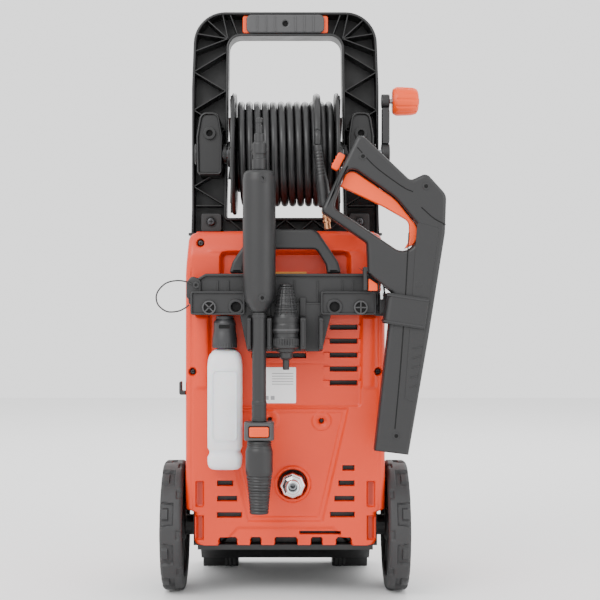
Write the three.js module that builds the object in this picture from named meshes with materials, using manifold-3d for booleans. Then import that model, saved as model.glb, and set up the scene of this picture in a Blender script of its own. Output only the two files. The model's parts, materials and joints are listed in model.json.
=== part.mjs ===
// A portable electric pressure washer: orange covers over a motor and pump, a black push handle with a
// hose reel, and a rear holder for the spray gun, the lance, a spare nozzle and a detergent bottle.
// Millimetres, +Z up. The rear, where the accessories hang, faces -Y, and the wheels turn about X.
import * as THREE from 'three';
import { mergeVertices } from 'three/addons/utils/BufferGeometryUtils.js';
import Module from 'manifold-3d';

const wasm = await Module();
wasm.setup();

// Driving dimensions. Places are measured from the middle of the body, with the floor at zero height.
const GAP = 0.3; // clearance between pieces that touch
const WALL = 3.5; // thickness of the moulded covers
const REAR_Y = -130; // rear face of the rear cover
const SEAM_Y = -100; // where the rear cover meets the front cover
const FRONT_Y = 145; // front face of the front cover
const BODY_HALF = 150; // half the width of the covers
const WAIST_HALF = 137; // half the width between the wheels
const WAIST_Z = 130; // height where the covers widen above the wheels
const BODY_TOP = 552;
const AXLE = { y: -60, z: 100 };
const WHEEL_RADIUS = 100;
const WHEEL_INNER_X = 154;
const WHEEL_OUTER_X = 187;
const REEL = { y: -62, z: 674 };
const DRUM_RADIUS = 59;
const WINDING_RADIUS = 81.5;
const WINDING_HALF = 74.4;
const FLANGE_RADIUS = 94;
const HOSE_RADIUS = 5.5;
const CRANK_RADIUS = 82;
const HANDLE_TOP = 899.6;
const HANDLE_FRONT_Y = 5;
const HANDLE_REAR_Y = -40;
const HANDLE_WALL = 4;
const MOTOR = { x: 0, y: 10 };
const PANEL_REAR_Y = -164; // rear face of the accessory holder's bar
const LANCE = { x: -38, y: -190 };
const SPARE = { x: 1, y: -185 }; // axis of the spare rotary nozzle
const GUN_Y = -190; // middle plane of the spray gun
const GUN_HALF = 18; // half the gun's thickness
const GUN_TILT = THREE.MathUtils.degToRad(8.5); // lean of the hanging gun
const TRIGGER_PIVOT = { x: 183, z: 540 };
const TRIGGER_TRAVEL = 6; // degrees that the trigger turns when it is pulled

const ORANGE = finish(0xdc5527, 0.42, 0);
const BRIGHT_ORANGE = finish(0xe8703a, 0.45, 0);
const BLACK = finish(0x242424, 0.5, 0);
const GREY = finish(0x4a4a4a, 0.5, 0);
const WHEEL_GREY = finish(0x444242, 0.6, 0);
const RUBBER = finish(0x1c1c1c, 0.75, 0);
const WHITE = finish(0xe2e2e5, 0.35, 0);
const STEEL = finish(0x9a9c9f, 0.35, 1);
const CHROME = finish(0xcfd2d4, 0.15, 1);
const BRASS = finish(0xb98a5a, 0.35, 1);
const ALUMINIUM = finish(0xa8aaad, 0.5, 1);
const COPPER = finish(0xa5623a, 0.45, 1);

function finish(color, roughness, metalness) {
  return new THREE.MeshStandardMaterial({ color, roughness, metalness });
}

// ---- Outlines: lists of Vector2, with the corners given as [x, z] or [x, z, radius] ----

function rounded(corners, steps = 3) {
  const points = [];
  corners.forEach(([x, z, radius = 0], i) => {
    const corner = new THREE.Vector2(x, z);
    if (radius === 0) {
      points.push(corner);
      return;
    }
    const [px, pz] = corners[(i + corners.length - 1) % corners.length];
    const [nx, nz] = corners[(i + 1) % corners.length];
    const back = new THREE.Vector2(px, pz).sub(corner).normalize();
    const onward = new THREE.Vector2(nx, nz).sub(corner).normalize();
    const half = Math.acos(THREE.MathUtils.clamp(back.dot(onward), -1, 1)) / 2;
    const reach = radius / Math.tan(half);
    const start = corner.clone().addScaledVector(back, reach);
    const end = corner.clone().addScaledVector(onward, reach);
    const middle = back.add(onward).normalize().multiplyScalar(radius / Math.sin(half)).add(corner);
    const from = start.sub(middle).angle();
    let sweep = end.sub(middle).angle() - from;
    sweep -= Math.round(sweep / (2 * Math.PI)) * 2 * Math.PI;
    for (let k = 0; k <= steps; k++) {
      const a = from + (sweep * k) / steps;
      points.push(new THREE.Vector2(Math.cos(a), Math.sin(a)).multiplyScalar(radius).add(middle));
    }
  });
  return points;
}

function rectangle(x0, x1, z0, z1, radius = 0) {
  return rounded([[x0, z0, radius], [x1, z0, radius], [x1, z1, radius], [x0, z1, radius]]);
}

function circle(x, z, radius, sides = 16) {
  return Array.from({ length: sides }, (_, i) => {
    const a = (2 * Math.PI * i) / sides;
    return new THREE.Vector2(x + radius * Math.cos(a), z + radius * Math.sin(a));
  });
}

function mirrored(corners) {
  const far = corners.map(([x, z, radius]) => [-x, z, radius]).reverse();
  return [...corners, ...far];
}

// The outline moved outwards everywhere by a distance, or inwards by a negative one.
function grown(outline, distance) {
  const turn = THREE.ShapeUtils.isClockWise(outline) ? -1 : 1;
  return outline.map((point, i) => {
    const before = outline[(i + outline.length - 1) % outline.length];
    const after = outline[(i + 1) % outline.length];
    const a = point.clone().sub(before).normalize();
    const b = after.clone().sub(point).normalize();
    const normalA = new THREE.Vector2(a.y, -a.x);
    const normalB = new THREE.Vector2(b.y, -b.x);
    const miter = normalA.clone().add(normalB).normalize();
    const stretch = Math.max(miter.dot(normalA), 0.3);
    return point.clone().addScaledVector(miter, (turn * distance) / stretch);
  });
}

// ---- Solids ----

// An outline in X and Z, made solid between two depths in Y.
function slab(outline, y0, y1, holes = []) {
  const shape = new THREE.Shape(outline);
  shape.holes = holes.map((hole) => new THREE.Path(hole));
  const geometry = new THREE.ExtrudeGeometry(shape, { depth: y1 - y0, bevelEnabled: false });
  return geometry.rotateX(Math.PI / 2).translate(0, y1, 0);
}

// An outline in Y and Z, made solid between two places in X.
function profile(outline, x0, x1) {
  const shape = new THREE.Shape(outline);
  const geometry = new THREE.ExtrudeGeometry(shape, { depth: x1 - x0, bevelEnabled: false });
  const axes = new THREE.Matrix4().makeBasis(
    new THREE.Vector3(0, 1, 0),
    new THREE.Vector3(0, 0, 1),
    new THREE.Vector3(1, 0, 0),
  );
  return geometry.applyMatrix4(axes).translate(x0, 0, 0);
}

// An outline in X and Y, made solid between two heights.
function layer(outline, z0, z1) {
  const shape = new THREE.Shape(outline);
  const geometry = new THREE.ExtrudeGeometry(shape, { depth: z1 - z0, bevelEnabled: false });
  return geometry.translate(0, 0, z0);
}

function block(x0, x1, y0, y1, z0, z1) {
  const geometry = new THREE.BoxGeometry(x1 - x0, y1 - y0, z1 - z0);
  return geometry.translate((x0 + x1) / 2, (y0 + y1) / 2, (z0 + z1) / 2);
}

// A profile of [radius, height] turned about the vertical axis at x, y.
function turnedZ(points, x, y, sides = 20) {
  const geometry = new THREE.LatheGeometry(points.map(([r, h]) => new THREE.Vector2(r, h)), sides);
  return geometry.rotateX(Math.PI / 2).translate(x, y, 0);
}

// A profile of [radius, place] turned about the X axis through y, z.
function turnedX(points, y, z, sides = 20) {
  const geometry = new THREE.LatheGeometry(points.map(([r, h]) => new THREE.Vector2(r, h)), sides);
  return geometry.rotateZ(-Math.PI / 2).translate(0, y, z);
}

// A profile of [radius, distance] turned about the line from one point towards another.
function turnedAlong(points, from, to, sides = 12) {
  const geometry = new THREE.LatheGeometry(points.map(([r, h]) => new THREE.Vector2(r, h)), sides);
  const towards = to.clone().sub(from).normalize();
  geometry.applyQuaternion(new THREE.Quaternion().setFromUnitVectors(new THREE.Vector3(0, 1, 0), towards));
  return geometry.translate(from.x, from.y, from.z);
}

// The [radius, place] profile of a plain rod, and of a closed ring.
function rod(radius, from, to) {
  return [[0, from], [radius, from], [radius, to], [0, to]];
}

function ring(inner, outer, from, to) {
  return [[inner, from], [outer, from], [outer, to], [inner, to], [inner, from]];
}

function rodX(radius, x0, x1, y, z, sides = 16) {
  return turnedX(rod(radius, x0, x1), y, z, sides);
}

function rodY(radius, y0, y1, x, z, sides = 16) {
  return slab(circle(x, z, radius, sides), y0, y1);
}

// Turns a geometry about a line along Y through x, z.
function leaning(geometry, angle, x, z) {
  return geometry.translate(-x, 0, -z).rotateY(angle).translate(x, 0, z);
}

function tube(points, radius, sides, steps) {
  const path = new THREE.CatmullRomCurve3(points, false, 'centripetal');
  const section = new THREE.Shape(circle(0, 0, radius, sides));
  return new THREE.ExtrudeGeometry(section, { extrudePath: path, steps, bevelEnabled: false });
}

// ---- Joining and cutting ----

function solid(geometry) {
  const bare = geometry.clone();
  bare.deleteAttribute('normal');
  bare.deleteAttribute('uv');
  const merged = mergeVertices(bare, 1e-3);
  const vertProperties = new Float32Array(merged.attributes.position.array);
  const triVerts = new Uint32Array(merged.index.array);
  return new wasm.Manifold(new wasm.Mesh({ numProp: 3, vertProperties, triVerts }));
}

function geometryOf(manifold) {
  const mesh = manifold.getMesh();
  const geometry = new THREE.BufferGeometry();
  geometry.setAttribute('position', new THREE.BufferAttribute(new Float32Array(mesh.vertProperties), 3));
  geometry.setIndex(new THREE.BufferAttribute(new Uint32Array(mesh.triVerts), 1));
  return geometry;
}

function join(first, ...others) {
  return geometryOf(others.reduce((sum, other) => sum.add(solid(other)), solid(first)));
}

function cut(body, ...tools) {
  return geometryOf(tools.reduce((left, tool) => left.subtract(solid(tool)), solid(body)));
}

const machine = new THREE.Group();
const cordPieces = new THREE.Group();

function piece(name, geometry, material, group = machine) {
  const bare = geometry.clone();
  bare.computeVertexNormals();
  const mesh = new THREE.Mesh(bare, material);
  mesh.name = name;
  group.add(mesh);
  return mesh;
}

// Makes the left piece at -X and the right one at +X from a function of the side.
function pair(name, make, material) {
  piece(`${name}_left`, make(-1), material);
  piece(`${name}_right`, make(1), material);
}

// A block on one side of the machine, given by its distances from the middle.
function sideBlock(side, inner, outer, y0, y1, z0, z1) {
  const [x0, x1] = side < 0 ? [-outer, -inner] : [inner, outer];
  return block(x0, x1, y0, y1, z0, z1);
}

// ---- Base, feet and wheels ----

function baseTray() {
  const side = [[-96, 74], [45, 62], [100, 17.3], [165, 17.3], [165, 60], [148, 129.6], [-96, 129.6]];
  const hollow = [[-92, 78], [46, 66], [101, 21.3], [161, 21.3], [161, 60], [142, 140], [-92, 140]];
  const bosses = [-1, 1].map((s) => {
    const [x0, x1] = s < 0 ? [-153.7, -134] : [134, 153.7];
    return rodX(16, x0, x1, AXLE.y, AXLE.z);
  });
  const shell = cut(
    profile(rounded(side), -140, 140),
    profile(rounded(hollow), -136, 136),
  );
  const shelf = block(-132, 132, -122, -95, 72, 79.6);
  const ribs = [-43, 43].map((x) => block(x - 3, x + 3, -30, 50, 63.9, 111.7));
  return cut(join(shell, shelf, ...ribs, ...bosses), rodX(6.4, -160, 160, AXLE.y, AXLE.z));
}

function foot(side) {
  const grooves = [84, 91, 98].map((x) => sideBlock(side, x, x + 3, 112, 120, -1, 14));
  return cut(sideBlock(side, 79, 138, 116, 162, 0, 17), ...grooves);
}

function wheel(side) {
  const inner = side < 0 ? -WHEEL_OUTER_X : WHEEL_INNER_X;
  const outer = side < 0 ? -WHEEL_INNER_X : WHEEL_OUTER_X;
  const middle = (inner + outer) / 2;
  const section = [
    [6.4, inner], [24, inner], [26, middle - 4], [76, middle - 4], [80, inner], [94, inner],
    [WHEEL_RADIUS, inner + 5], [WHEEL_RADIUS, outer - 5], [94, outer], [80, outer],
    [76, middle + 4], [26, middle + 4], [24, outer], [6.4, outer], [6.4, inner],
  ];
  return turnedX(section, AXLE.y, AXLE.z, 32);
}

function hubCap(side) {
  const face = side * (WHEEL_OUTER_X + GAP);
  const edge = side * (WHEEL_OUTER_X + 4);
  const section = rod(22, Math.min(face, edge), Math.max(face, edge));
  return turnedX(section, AXLE.y, AXLE.z);
}

piece('base_tray', baseTray(), BLACK);
pair('foot', foot, RUBBER);
piece('wheel_axle', rodX(6, -186.5, 186.5, AXLE.y, AXLE.z), STEEL);
pair('wheel', wheel, WHEEL_GREY);
pair('hub_cap', hubCap, BLACK);

// ---- Covers ----

const REAR_OUTLINE = rounded(mirrored([
  [-46, 80], [-46, 90], [-76, 90], [-76, 80], [-WAIST_HALF, 84, 8], [-WAIST_HALF, WAIST_Z, 6],
  [-BODY_HALF, WAIST_Z + 8, 8], [-BODY_HALF, 500], [-147, 536, 14], [-100, BODY_TOP - 2],
]));

function ventSlots() {
  const upper = [323.5, 344.3, 365.2, 386.1, 407].map((z) => block(67, 108, -140, -110, z - 3.5, z + 3.5));
  const leftEnds = [[-79.4, 173], [-72.8, 150], [-65.9, 125.5]];
  const lowerLeft = leftEnds.map(([x, z]) => block(-102, x, -140, -110, z - 3.75, z + 3.75));
  const rightEnds = [[86.6, 196], [80.7, 173], [74, 150], [67.5, 126]];
  const lowerRight = rightEnds.map(([x, z]) => block(x, 103.4, -140, -110, z - 3.75, z + 3.75));
  return [...upper, ...lowerLeft, ...lowerRight];
}

const INLET = { x: 11, z: 171.4 };

function rearCover() {
  const shell = cut(
    slab(REAR_OUTLINE, REAR_Y, SEAM_Y - GAP),
    slab(grown(REAR_OUTLINE, -WALL), REAR_Y + WALL, SEAM_Y + 5),
  );
  const recess = [[-59, 116, 5], [59, 116, 5], [94, 284, 5], [-94, 284, 5]];
  const backing = slab(rounded([[-64, 112], [64, 112], [99, 289], [-99, 289]]), REAR_Y + 1, REAR_Y + 9);
  const inletRing = rodY(27.5, REAR_Y + 1, REAR_Y + 9, INLET.x, INLET.z, 24);
  const hollow = cut(slab(rounded(recess), REAR_Y - 5, REAR_Y + 6), inletRing);
  return cut(
    join(shell, backing),
    hollow,
    rodY(22, REAR_Y - 5, REAR_Y + 20, INLET.x, INLET.z, 24),
    ...ventSlots(),
  );
}

function frontCover() {
  const outside = [
    [SEAM_Y, WAIST_Z], [FRONT_Y, WAIST_Z, 8], [FRONT_Y, 345, 30], [112, 420, 40], [62, 505, 40],
    [24, BODY_TOP, 12], [SEAM_Y, BODY_TOP],
  ];
  const outline = rounded(outside, 5);
  const inside = grown(outline, -WALL);
  const shell = cut(
    profile(outline, -BODY_HALF, BODY_HALF),
    profile(inside, WALL - BODY_HALF, BODY_HALF - WALL),
    block(WALL - BODY_HALF, BODY_HALF - WALL, SEAM_Y - 5, SEAM_Y + 10, WAIST_Z - 5, BODY_TOP - WALL),
    block(WALL - BODY_HALF, BODY_HALF - WALL, SEAM_Y - 5, FRONT_Y - WALL, WAIST_Z - 5, WAIST_Z + 10),
  );
  const louvres = [140, 160, 180, 200, 220, 240].map((z) => block(-160, 160, -85, -35, z, z + 7));
  const handleSockets = [-1, 1].map((s) => sideBlock(s, 86, 151, -43, 8, 538, 560));
  const outletHole = rodY(13, 130, 150, OUTLET.x, OUTLET.z);
  const glandHole = rodY(8.4, 130, 150, GLAND.x, GLAND.z);
  const switchHole = rodY(9, 130, 150, SWITCH.x, SWITCH.z);
  return cut(shell, ...louvres, ...handleSockets, outletHole, glandHole, switchHole);
}

const OUTLET = { x: 0, z: 165 };
const GLAND = { x: 92, z: 165 };
const SWITCH = { x: 0, z: 275 };
const PANEL_Y = FRONT_Y + GAP; // inner face of the dark front panel
const PANEL_OUTER_Y = PANEL_Y + 5;

function frontPanel() {
  const outline = rounded([[-70, 205, 14], [70, 205, 14], [84, 330, 14], [-84, 330, 14]]);
  return cut(slab(outline, PANEL_Y, PANEL_OUTER_Y), rodY(9, 140, 160, SWITCH.x, SWITCH.z));
}

function switchKnob() {
  const dial = rodY(24, PANEL_OUTER_Y + GAP, PANEL_OUTER_Y + 14, SWITCH.x, SWITCH.z, 24);
  const pointer = rectangle(SWITCH.x - 5, SWITCH.x + 5, SWITCH.z - 23, SWITCH.z + 23);
  const bar = slab(pointer, PANEL_OUTER_Y + 10, PANEL_OUTER_Y + 22);
  const shaft = rodY(5, 128, PANEL_OUTER_Y + 2, SWITCH.x, SWITCH.z);
  return join(dial, bar, shaft);
}

function switchBox() {
  const housing = block(SWITCH.x - 28, SWITCH.x + 28, 88, FRONT_Y - WALL - GAP, SWITCH.z - 34, SWITCH.z + 34);
  return cut(housing, rodY(5.4, 127, 150, SWITCH.x, SWITCH.z));
}

piece('rear_cover', rearCover(), ORANGE);
piece('front_cover', frontCover(), ORANGE);
piece('front_panel', frontPanel(), BLACK);
piece('switch_box', switchBox(), BLACK);
piece('switch_knob', switchKnob(), BRIGHT_ORANGE);

// ---- Motor, pump and water fittings ----

const PUMP = { radius: 46, z0: 112, z1: 237 };

function pumpHead() {
  const body = turnedZ(rod(PUMP.radius, PUMP.z0, PUMP.z1), MOTOR.x, MOTOR.y);
  const foot = block(-50, 50, -28, 48, PUMP.z0, PUMP.z0 + 12);
  const inletBoss = rodY(20, -37.7, 0, INLET.x, INLET.z);
  const outletBoss = rodY(16, 20, 60, OUTLET.x, OUTLET.z);
  return cut(
    join(body, foot, inletBoss, outletBoss),
    turnedZ(rod(8.5, 225, 240), MOTOR.x, MOTOR.y),
    rodY(10.4, -45, -20, INLET.x, INLET.z),
    rodY(8.4, 45, 70, OUTLET.x, OUTLET.z),
  );
}

function motorStator() {
  const windings = ring(30, 54, 246, 424);
  const core = ring(30, 62, 265, 405);
  const seat = ring(9, 62, PUMP.z1 + GAP, 250);
  return join(...[windings, core, seat].map((section) => turnedZ(section, MOTOR.x, MOTOR.y)));
}

function motorRotor() {
  const section = [[0, 227], [8, 227], [8, 262], [28, 262], [28, 408], [8, 408], [8, 448], [0, 448]];
  return turnedZ(section, MOTOR.x, MOTOR.y);
}

function coolingFan() {
  const disc = turnedZ(ring(8.2, 50, 428, 431), MOTOR.x, MOTOR.y);
  const hub = turnedZ(ring(8.2, 14, 428, 446), MOTOR.x, MOTOR.y);
  const blades = Array.from({ length: 7 }, (_, i) => {
    const blade = block(12, 50, -1.2, 1.2, 430, 444);
    return blade.rotateZ((2 * Math.PI * i) / 7).translate(MOTOR.x, MOTOR.y, 0);
  });
  return join(disc, hub, ...blades);
}

function waterInlet() {
  const section = [
    [0, -38.4], [10, -38.4], [10, -122], [18.5, -122], [18.5, -146], [15.5, -148], [15.5, -153],
    [10.5, -155], [10.5, -165], [0, -165],
  ].map(([r, y]) => [r, -y]);
  const along = turnedAlong(section, new THREE.Vector3(), new THREE.Vector3(0, -1, 0), 8);
  const bore = turnedAlong(rod(6.5, 60, 170), new THREE.Vector3(), new THREE.Vector3(0, -1, 0), 16);
  return cut(along, bore).translate(INLET.x, 0, INLET.z);
}

function pressureOutlet() {
  const section = rod(8, 45.4, 168);
  const collar = rod(12, 128, 158);
  const [from, to] = [new THREE.Vector3(), new THREE.Vector3(0, 1, 0)];
  const body = join(turnedAlong(section, from, to, 16), turnedAlong(collar, from, to, 16));
  return cut(body, turnedAlong(rod(4, 100, 180), from, to)).translate(OUTLET.x, 0, OUTLET.z);
}

function cableGland() {
  const [from, to] = [new THREE.Vector3(), new THREE.Vector3(0, 1, 0)];
  const parts = [rod(8, 126, 168), rod(13, FRONT_Y + GAP, 153)].map((s) => turnedAlong(s, from, to, 16));
  const bore = turnedAlong(rod(4.2, 120, 182), from, to);
  return cut(join(...parts), bore).translate(GLAND.x, 0, GLAND.z);
}

piece('pump_head', pumpHead(), ALUMINIUM);
piece('motor_stator', motorStator(), COPPER);
piece('motor_rotor', motorRotor(), STEEL);
piece('cooling_fan', coolingFan(), BLACK);
piece('capacitor', turnedZ(rod(18, 72, 150), -92, 20, 24), WHITE);
piece('water_inlet', waterInlet(), CHROME);
piece('pressure_outlet', pressureOutlet(), BRASS);
piece('cable_gland', cableGland(), BLACK);

// ---- Push handle ----

const HANDLE_OUTLINE = rounded(mirrored([
  [-92, 540], [-148, 540], [-146.5, 590], [-146.5, 780], [-142, HANDLE_TOP, 50],
]), 8);
const HANDLE_OPENING = rounded(mirrored([[-92, 577, 3], [-88, 862, 19]]), 5);
const BELOW_CROSSBAR = rectangle(-92, 92, 520, 553);

// The handle's face with its walls moved inwards by a distance.
function handleBody(inset, y0, y1) {
  return cut(
    slab(grown(HANDLE_OUTLINE, -inset), y0, y1),
    slab(grown(HANDLE_OPENING, inset), y0 - 1, y1 + 1),
    slab(grown(BELOW_CROSSBAR, inset), y0 - 1, y1 + 1),
  );
}

const HANDLE_SCREW = { x: 116, z: 570.7 };

function handleFrame() {
  const channel = handleBody(HANDLE_WALL, HANDLE_REAR_Y - 1, HANDLE_FRONT_Y - HANDLE_WALL);
  const tabs = [-1, 1].map((s) => sideBlock(s, 100, 132, HANDLE_REAR_Y, HANDLE_FRONT_Y, 555, 584));
  const screwHoles = [-1, 1].map((s) => rodY(3.4, -45, -8, s * HANDLE_SCREW.x, HANDLE_SCREW.z, 16));
  const shell = cut(handleBody(0, HANDLE_REAR_Y, HANDLE_FRONT_Y), channel);
  return cut(join(shell, ...tabs), ...screwHoles);
}

function handleScrew(side) {
  const head = rodY(6.5, HANDLE_REAR_Y - 3.5, HANDLE_REAR_Y - GAP, side * HANDLE_SCREW.x, HANDLE_SCREW.z, 16);
  const shank = rodY(3, HANDLE_REAR_Y - 1, -12, side * HANDLE_SCREW.x, HANDLE_SCREW.z, 16);
  return join(head, shank);
}

const GRIP_Z0 = 866 + GAP;
const GRIP_Z1 = HANDLE_TOP - HANDLE_WALL - GAP;
const GRIP_SPLIT_Y = HANDLE_REAR_Y + 4;

function gripCore() {
  const bottom = GRIP_Z0 + 0.5;
  return block(-67, 67, GRIP_SPLIT_Y, HANDLE_FRONT_Y - HANDLE_WALL - GAP, bottom, GRIP_Z1 - 0.5);
}

function gripRear() {
  return slab(rectangle(-61, 61, GRIP_Z0, GRIP_Z1, 4), HANDLE_REAR_Y - 3, GRIP_SPLIT_Y - GAP);
}

piece('handle_frame', handleFrame(), BLACK);
pair('handle_screw', handleScrew, STEEL);
piece('grip_core', gripCore(), BRIGHT_ORANGE);
piece('grip_rear', gripRear(), GREY);

// ---- Hose reel ----

const SHAFT_RADIUS = 8;
const HUB_BORE = SHAFT_RADIUS + GAP;
const FLANGE_INNER_X = 75;

function reelBracket(side) {
  const face = rectangle(97, 136, 641, 737, 8).map((p) => new THREE.Vector2(side * p.x, p.y));
  const body = slab(face, REEL.y - 18, HANDLE_FRONT_Y - HANDLE_WALL - GAP);
  return cut(body, rodX(HUB_BORE, -170, 170, REEL.y, REEL.z));
}

function reelFlange(side) {
  const inner = side * FLANGE_INNER_X;
  const outer = side * (FLANGE_INNER_X + 3);
  const rim = side * (FLANGE_INNER_X + 7);
  const hub = side * (FLANGE_INNER_X + 14);
  const section = [
    [HUB_BORE, inner], [FLANGE_RADIUS, inner], [FLANGE_RADIUS, rim], [FLANGE_RADIUS - 3, rim],
    [FLANGE_RADIUS - 5, outer], [20, outer], [18, hub], [HUB_BORE, hub], [HUB_BORE, inner],
  ];
  return turnedX(side < 0 ? section.reverse() : section, REEL.y, REEL.z, 32);
}

function reelDrum() {
  const end = FLANGE_INNER_X - GAP;
  const section = [
    [HUB_BORE, -end], [16, -end], [16, -3], [DRUM_RADIUS - 4, -3], [DRUM_RADIUS - 4, -end],
    [DRUM_RADIUS, -end], [DRUM_RADIUS, end], [DRUM_RADIUS - 4, end], [DRUM_RADIUS - 4, 3],
    [16, 3], [16, end], [HUB_BORE, end], [HUB_BORE, -end],
  ];
  return turnedX(section, REEL.y, REEL.z, 24);
}

const KNOB_Z = REEL.z + CRANK_RADIUS;
const ARM = { x0: 149, x1: 161 };

function crankArm() {
  const web = profile(rounded([
    [REEL.y - 13, REEL.z, 4], [REEL.y - 9, KNOB_Z, 4], [REEL.y + 9, KNOB_Z, 4], [REEL.y + 13, REEL.z, 4],
  ]), ARM.x0, ARM.x1);
  const hub = rodX(17, ARM.x0, ARM.x1, REEL.y, REEL.z);
  const eye = rodX(11, ARM.x0, ARM.x1, REEL.y, KNOB_Z);
  const pin = rodX(4, ARM.x1 - 1, 202, REEL.y, KNOB_Z, 16);
  return cut(join(web, hub, eye, pin), rodX(HUB_BORE, 140, 158, REEL.y, REEL.z));
}

function crankKnob() {
  const section = [
    [0, 206], [21, 206], [23, 202], [23, 180], [20, 170], [14, 166], [0, 166],
  ].reverse();
  return cut(turnedX(section, REEL.y, KNOB_Z), rodX(4.3, 150, 202.4, REEL.y, KNOB_Z, 16));
}

const HOSE = {
  x: 48, radius: WINDING_RADIUS + HOSE_RADIUS + 1.2, startAngle: 60, endY: -152.5, endZ: 679,
};

// The hose's loose end: over the top of the winding, then down its rear side.
function hoseTailPath() {
  const points = [];
  for (let angle = HOSE.startAngle; angle >= -90; angle -= 15) {
    const a = THREE.MathUtils.degToRad(angle);
    const y = REEL.y + HOSE.radius * Math.sin(a);
    const z = REEL.z + HOSE.radius * Math.cos(a);
    points.push(new THREE.Vector3(HOSE.x, y, z));
  }
  points.pop();
  points.push(new THREE.Vector3(HOSE.x, HOSE.endY, HOSE.endZ + 16));
  points.push(new THREE.Vector3(HOSE.x, HOSE.endY, HOSE.endZ));
  return points;
}

const SLEEVE_TOP = new THREE.Vector3(HOSE.x, HOSE.endY, HOSE.endZ - 3 * GAP);
const SLEEVE_BOTTOM = new THREE.Vector3(59, -156, 585);
const SLEEVE_LENGTH = SLEEVE_TOP.distanceTo(SLEEVE_BOTTOM);

function hoseSleeve() {
  const section = [
    [0, 0], [7, 0.5], [7.5, 30], [9.5, 55], [10, SLEEVE_LENGTH - 3], [8.5, SLEEVE_LENGTH],
    [0, SLEEVE_LENGTH],
  ];
  return turnedAlong(section, SLEEVE_TOP, SLEEVE_BOTTOM);
}

function hoseFitting() {
  const section = [[0, 0.4], [4, 0.4], [4, 13], [6, 14], [6, 19], [5, 20], [5, 32], [0, 32]];
  const end = SLEEVE_BOTTOM.clone().multiplyScalar(2).sub(SLEEVE_TOP);
  return turnedAlong(section, SLEEVE_BOTTOM, end);
}

piece('reel_axle', rodX(SHAFT_RADIUS, -133, 157.6, REEL.y, REEL.z), STEEL);
pair('reel_bracket', reelBracket, BLACK);
piece('reel_drum', reelDrum(), BLACK);
pair('reel_flange', reelFlange, BLACK);
piece('crank_arm', crankArm(), BLACK);
piece('crank_knob', crankKnob(), BRIGHT_ORANGE);
const winding = ring(DRUM_RADIUS + GAP, WINDING_RADIUS, -WINDING_HALF, WINDING_HALF);
piece('hose_winding', turnedX(winding, REEL.y, REEL.z, 32), RUBBER, cordPieces);
piece('hose_tail', tube(hoseTailPath(), HOSE_RADIUS, 8, 20), RUBBER, cordPieces);
piece('hose_sleeve', hoseSleeve(), RUBBER, cordPieces);
piece('hose_fitting', hoseFitting(), BRASS, cordPieces);

// ---- Accessory holder ----

const HOLDER_FACE_Y = REAR_Y - GAP; // side of the holder that lies on the rear cover
const CLIP_TIP_Y = -192;
const HOLDER_Z = { low: 372, box: 426, bar: 440, top: 487 };

function accessoryHolder() {
  const bar = slab(rounded([
    [-143, HOLDER_Z.bar, 6], [138, HOLDER_Z.bar], [138, HOLDER_Z.top - 6, 3], [128, HOLDER_Z.top, 6],
    [-128, HOLDER_Z.top, 8], [-143, HOLDER_Z.top - 20, 8],
  ]), PANEL_REAR_Y, HOLDER_FACE_Y);
  const boxes = [[-140, -59], [52, 134]].map(([x0, x1]) => {
    const outline = rectangle(x0, x1, HOLDER_Z.box, 460, 6);
    return slab(outline, -172, HOLDER_FACE_Y);
  });
  const apron = slab(
    rounded([[-56, HOLDER_Z.low], [54, HOLDER_Z.low], [71, HOLDER_Z.bar + 2], [-70, HOLDER_Z.bar + 2]]),
    PANEL_REAR_Y,
    PANEL_REAR_Y + 5,
  );
  const webs = [-52, 50].map((x) => block(x - 3, x + 3, PANEL_REAR_Y, HOLDER_FACE_Y, HOLDER_Z.low, 430));
  const clipWalls = [[-55.5, -49.2], [-27, -19.6], [21.6, 30], [49, 55]].map(([x0, x1]) => {
    return block(x0, x1, CLIP_TIP_Y, PANEL_REAR_Y + 1, HOLDER_Z.low, HOLDER_Z.box - 0.5);
  });
  const loopBoss = rodY(5, -172, PANEL_REAR_Y + 1, -131, 470);
  const holes = [-72.5, 72.5].map((x) => rodY(7.4, -180, -158, x, 438));
  return cut(join(bar, ...boxes, apron, ...webs, ...clipWalls, loopBoss), ...holes);
}

function carryArch() {
  const outline = rounded(mirrored([
    [-60, HOLDER_Z.top + GAP], [-83, HOLDER_Z.top + GAP], [-78, 505, 12], [-46, 552.7, 16],
  ]));
  const opening = rounded(mirrored([[-64, 470], [-60, 500, 10], [-46, 523.5, 10]]));
  return cut(slab(outline, -161, -139), slab(opening, -170, -130));
}

const RING = { x: 175.7, z: 432, height: 45 };

// A C-shaped holder, open to +X, that the gun's barrel stands in.
function gunRing() {
  const outside = rectangle(RING.x - 31, RING.x + 28.5, -213, -167, 8);
  const inside = rectangle(RING.x - 27, RING.x + 60, GUN_Y - GUN_HALF - 1, GUN_Y + GUN_HALF + 1, 3);
  const low = RING.z - RING.height / 2;
  const band = cut(
    layer(outside, low, low + RING.height),
    layer(inside, low - 1, low + RING.height + 1),
  );
  const foot = block(138.4, 160, -168.5, -134, 428, 458);
  const keptClear = layer(inside, low - 40, low + RING.height + 40);
  const turned = [band, keptClear].map((part) => leaning(part, GUN_TILT, RING.x, RING.z));
  return cut(join(turned[0], foot), turned[1]);
}

function cordHook() {
  const outline = rounded([
    [-BODY_HALF - GAP, 305], [-160, 305], [-160, 325], [-156, 325], [-156, 311], [-BODY_HALF - GAP, 311],
  ]);
  return slab(outline, -122, -104);
}

// A stiff wire loop whose two ends plug into the left end of the holder.
const LOOP_POINTS = [
  [-137.2, 471], [-146, 475], [-160, 476.5], [-175, 473], [-186, 463], [-190, 452], [-186.5, 440],
  [-174, 431], [-158, 431.5], [-148, 436], [-141.6, 441],
].map(([x, z]) => new THREE.Vector3(x, -168, z));

piece('accessory_holder', accessoryHolder(), GREY);
piece('carry_arch', carryArch(), GREY);
piece('gun_ring', gunRing(), GREY);
piece('cord_hook', cordHook(), GREY);

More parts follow.
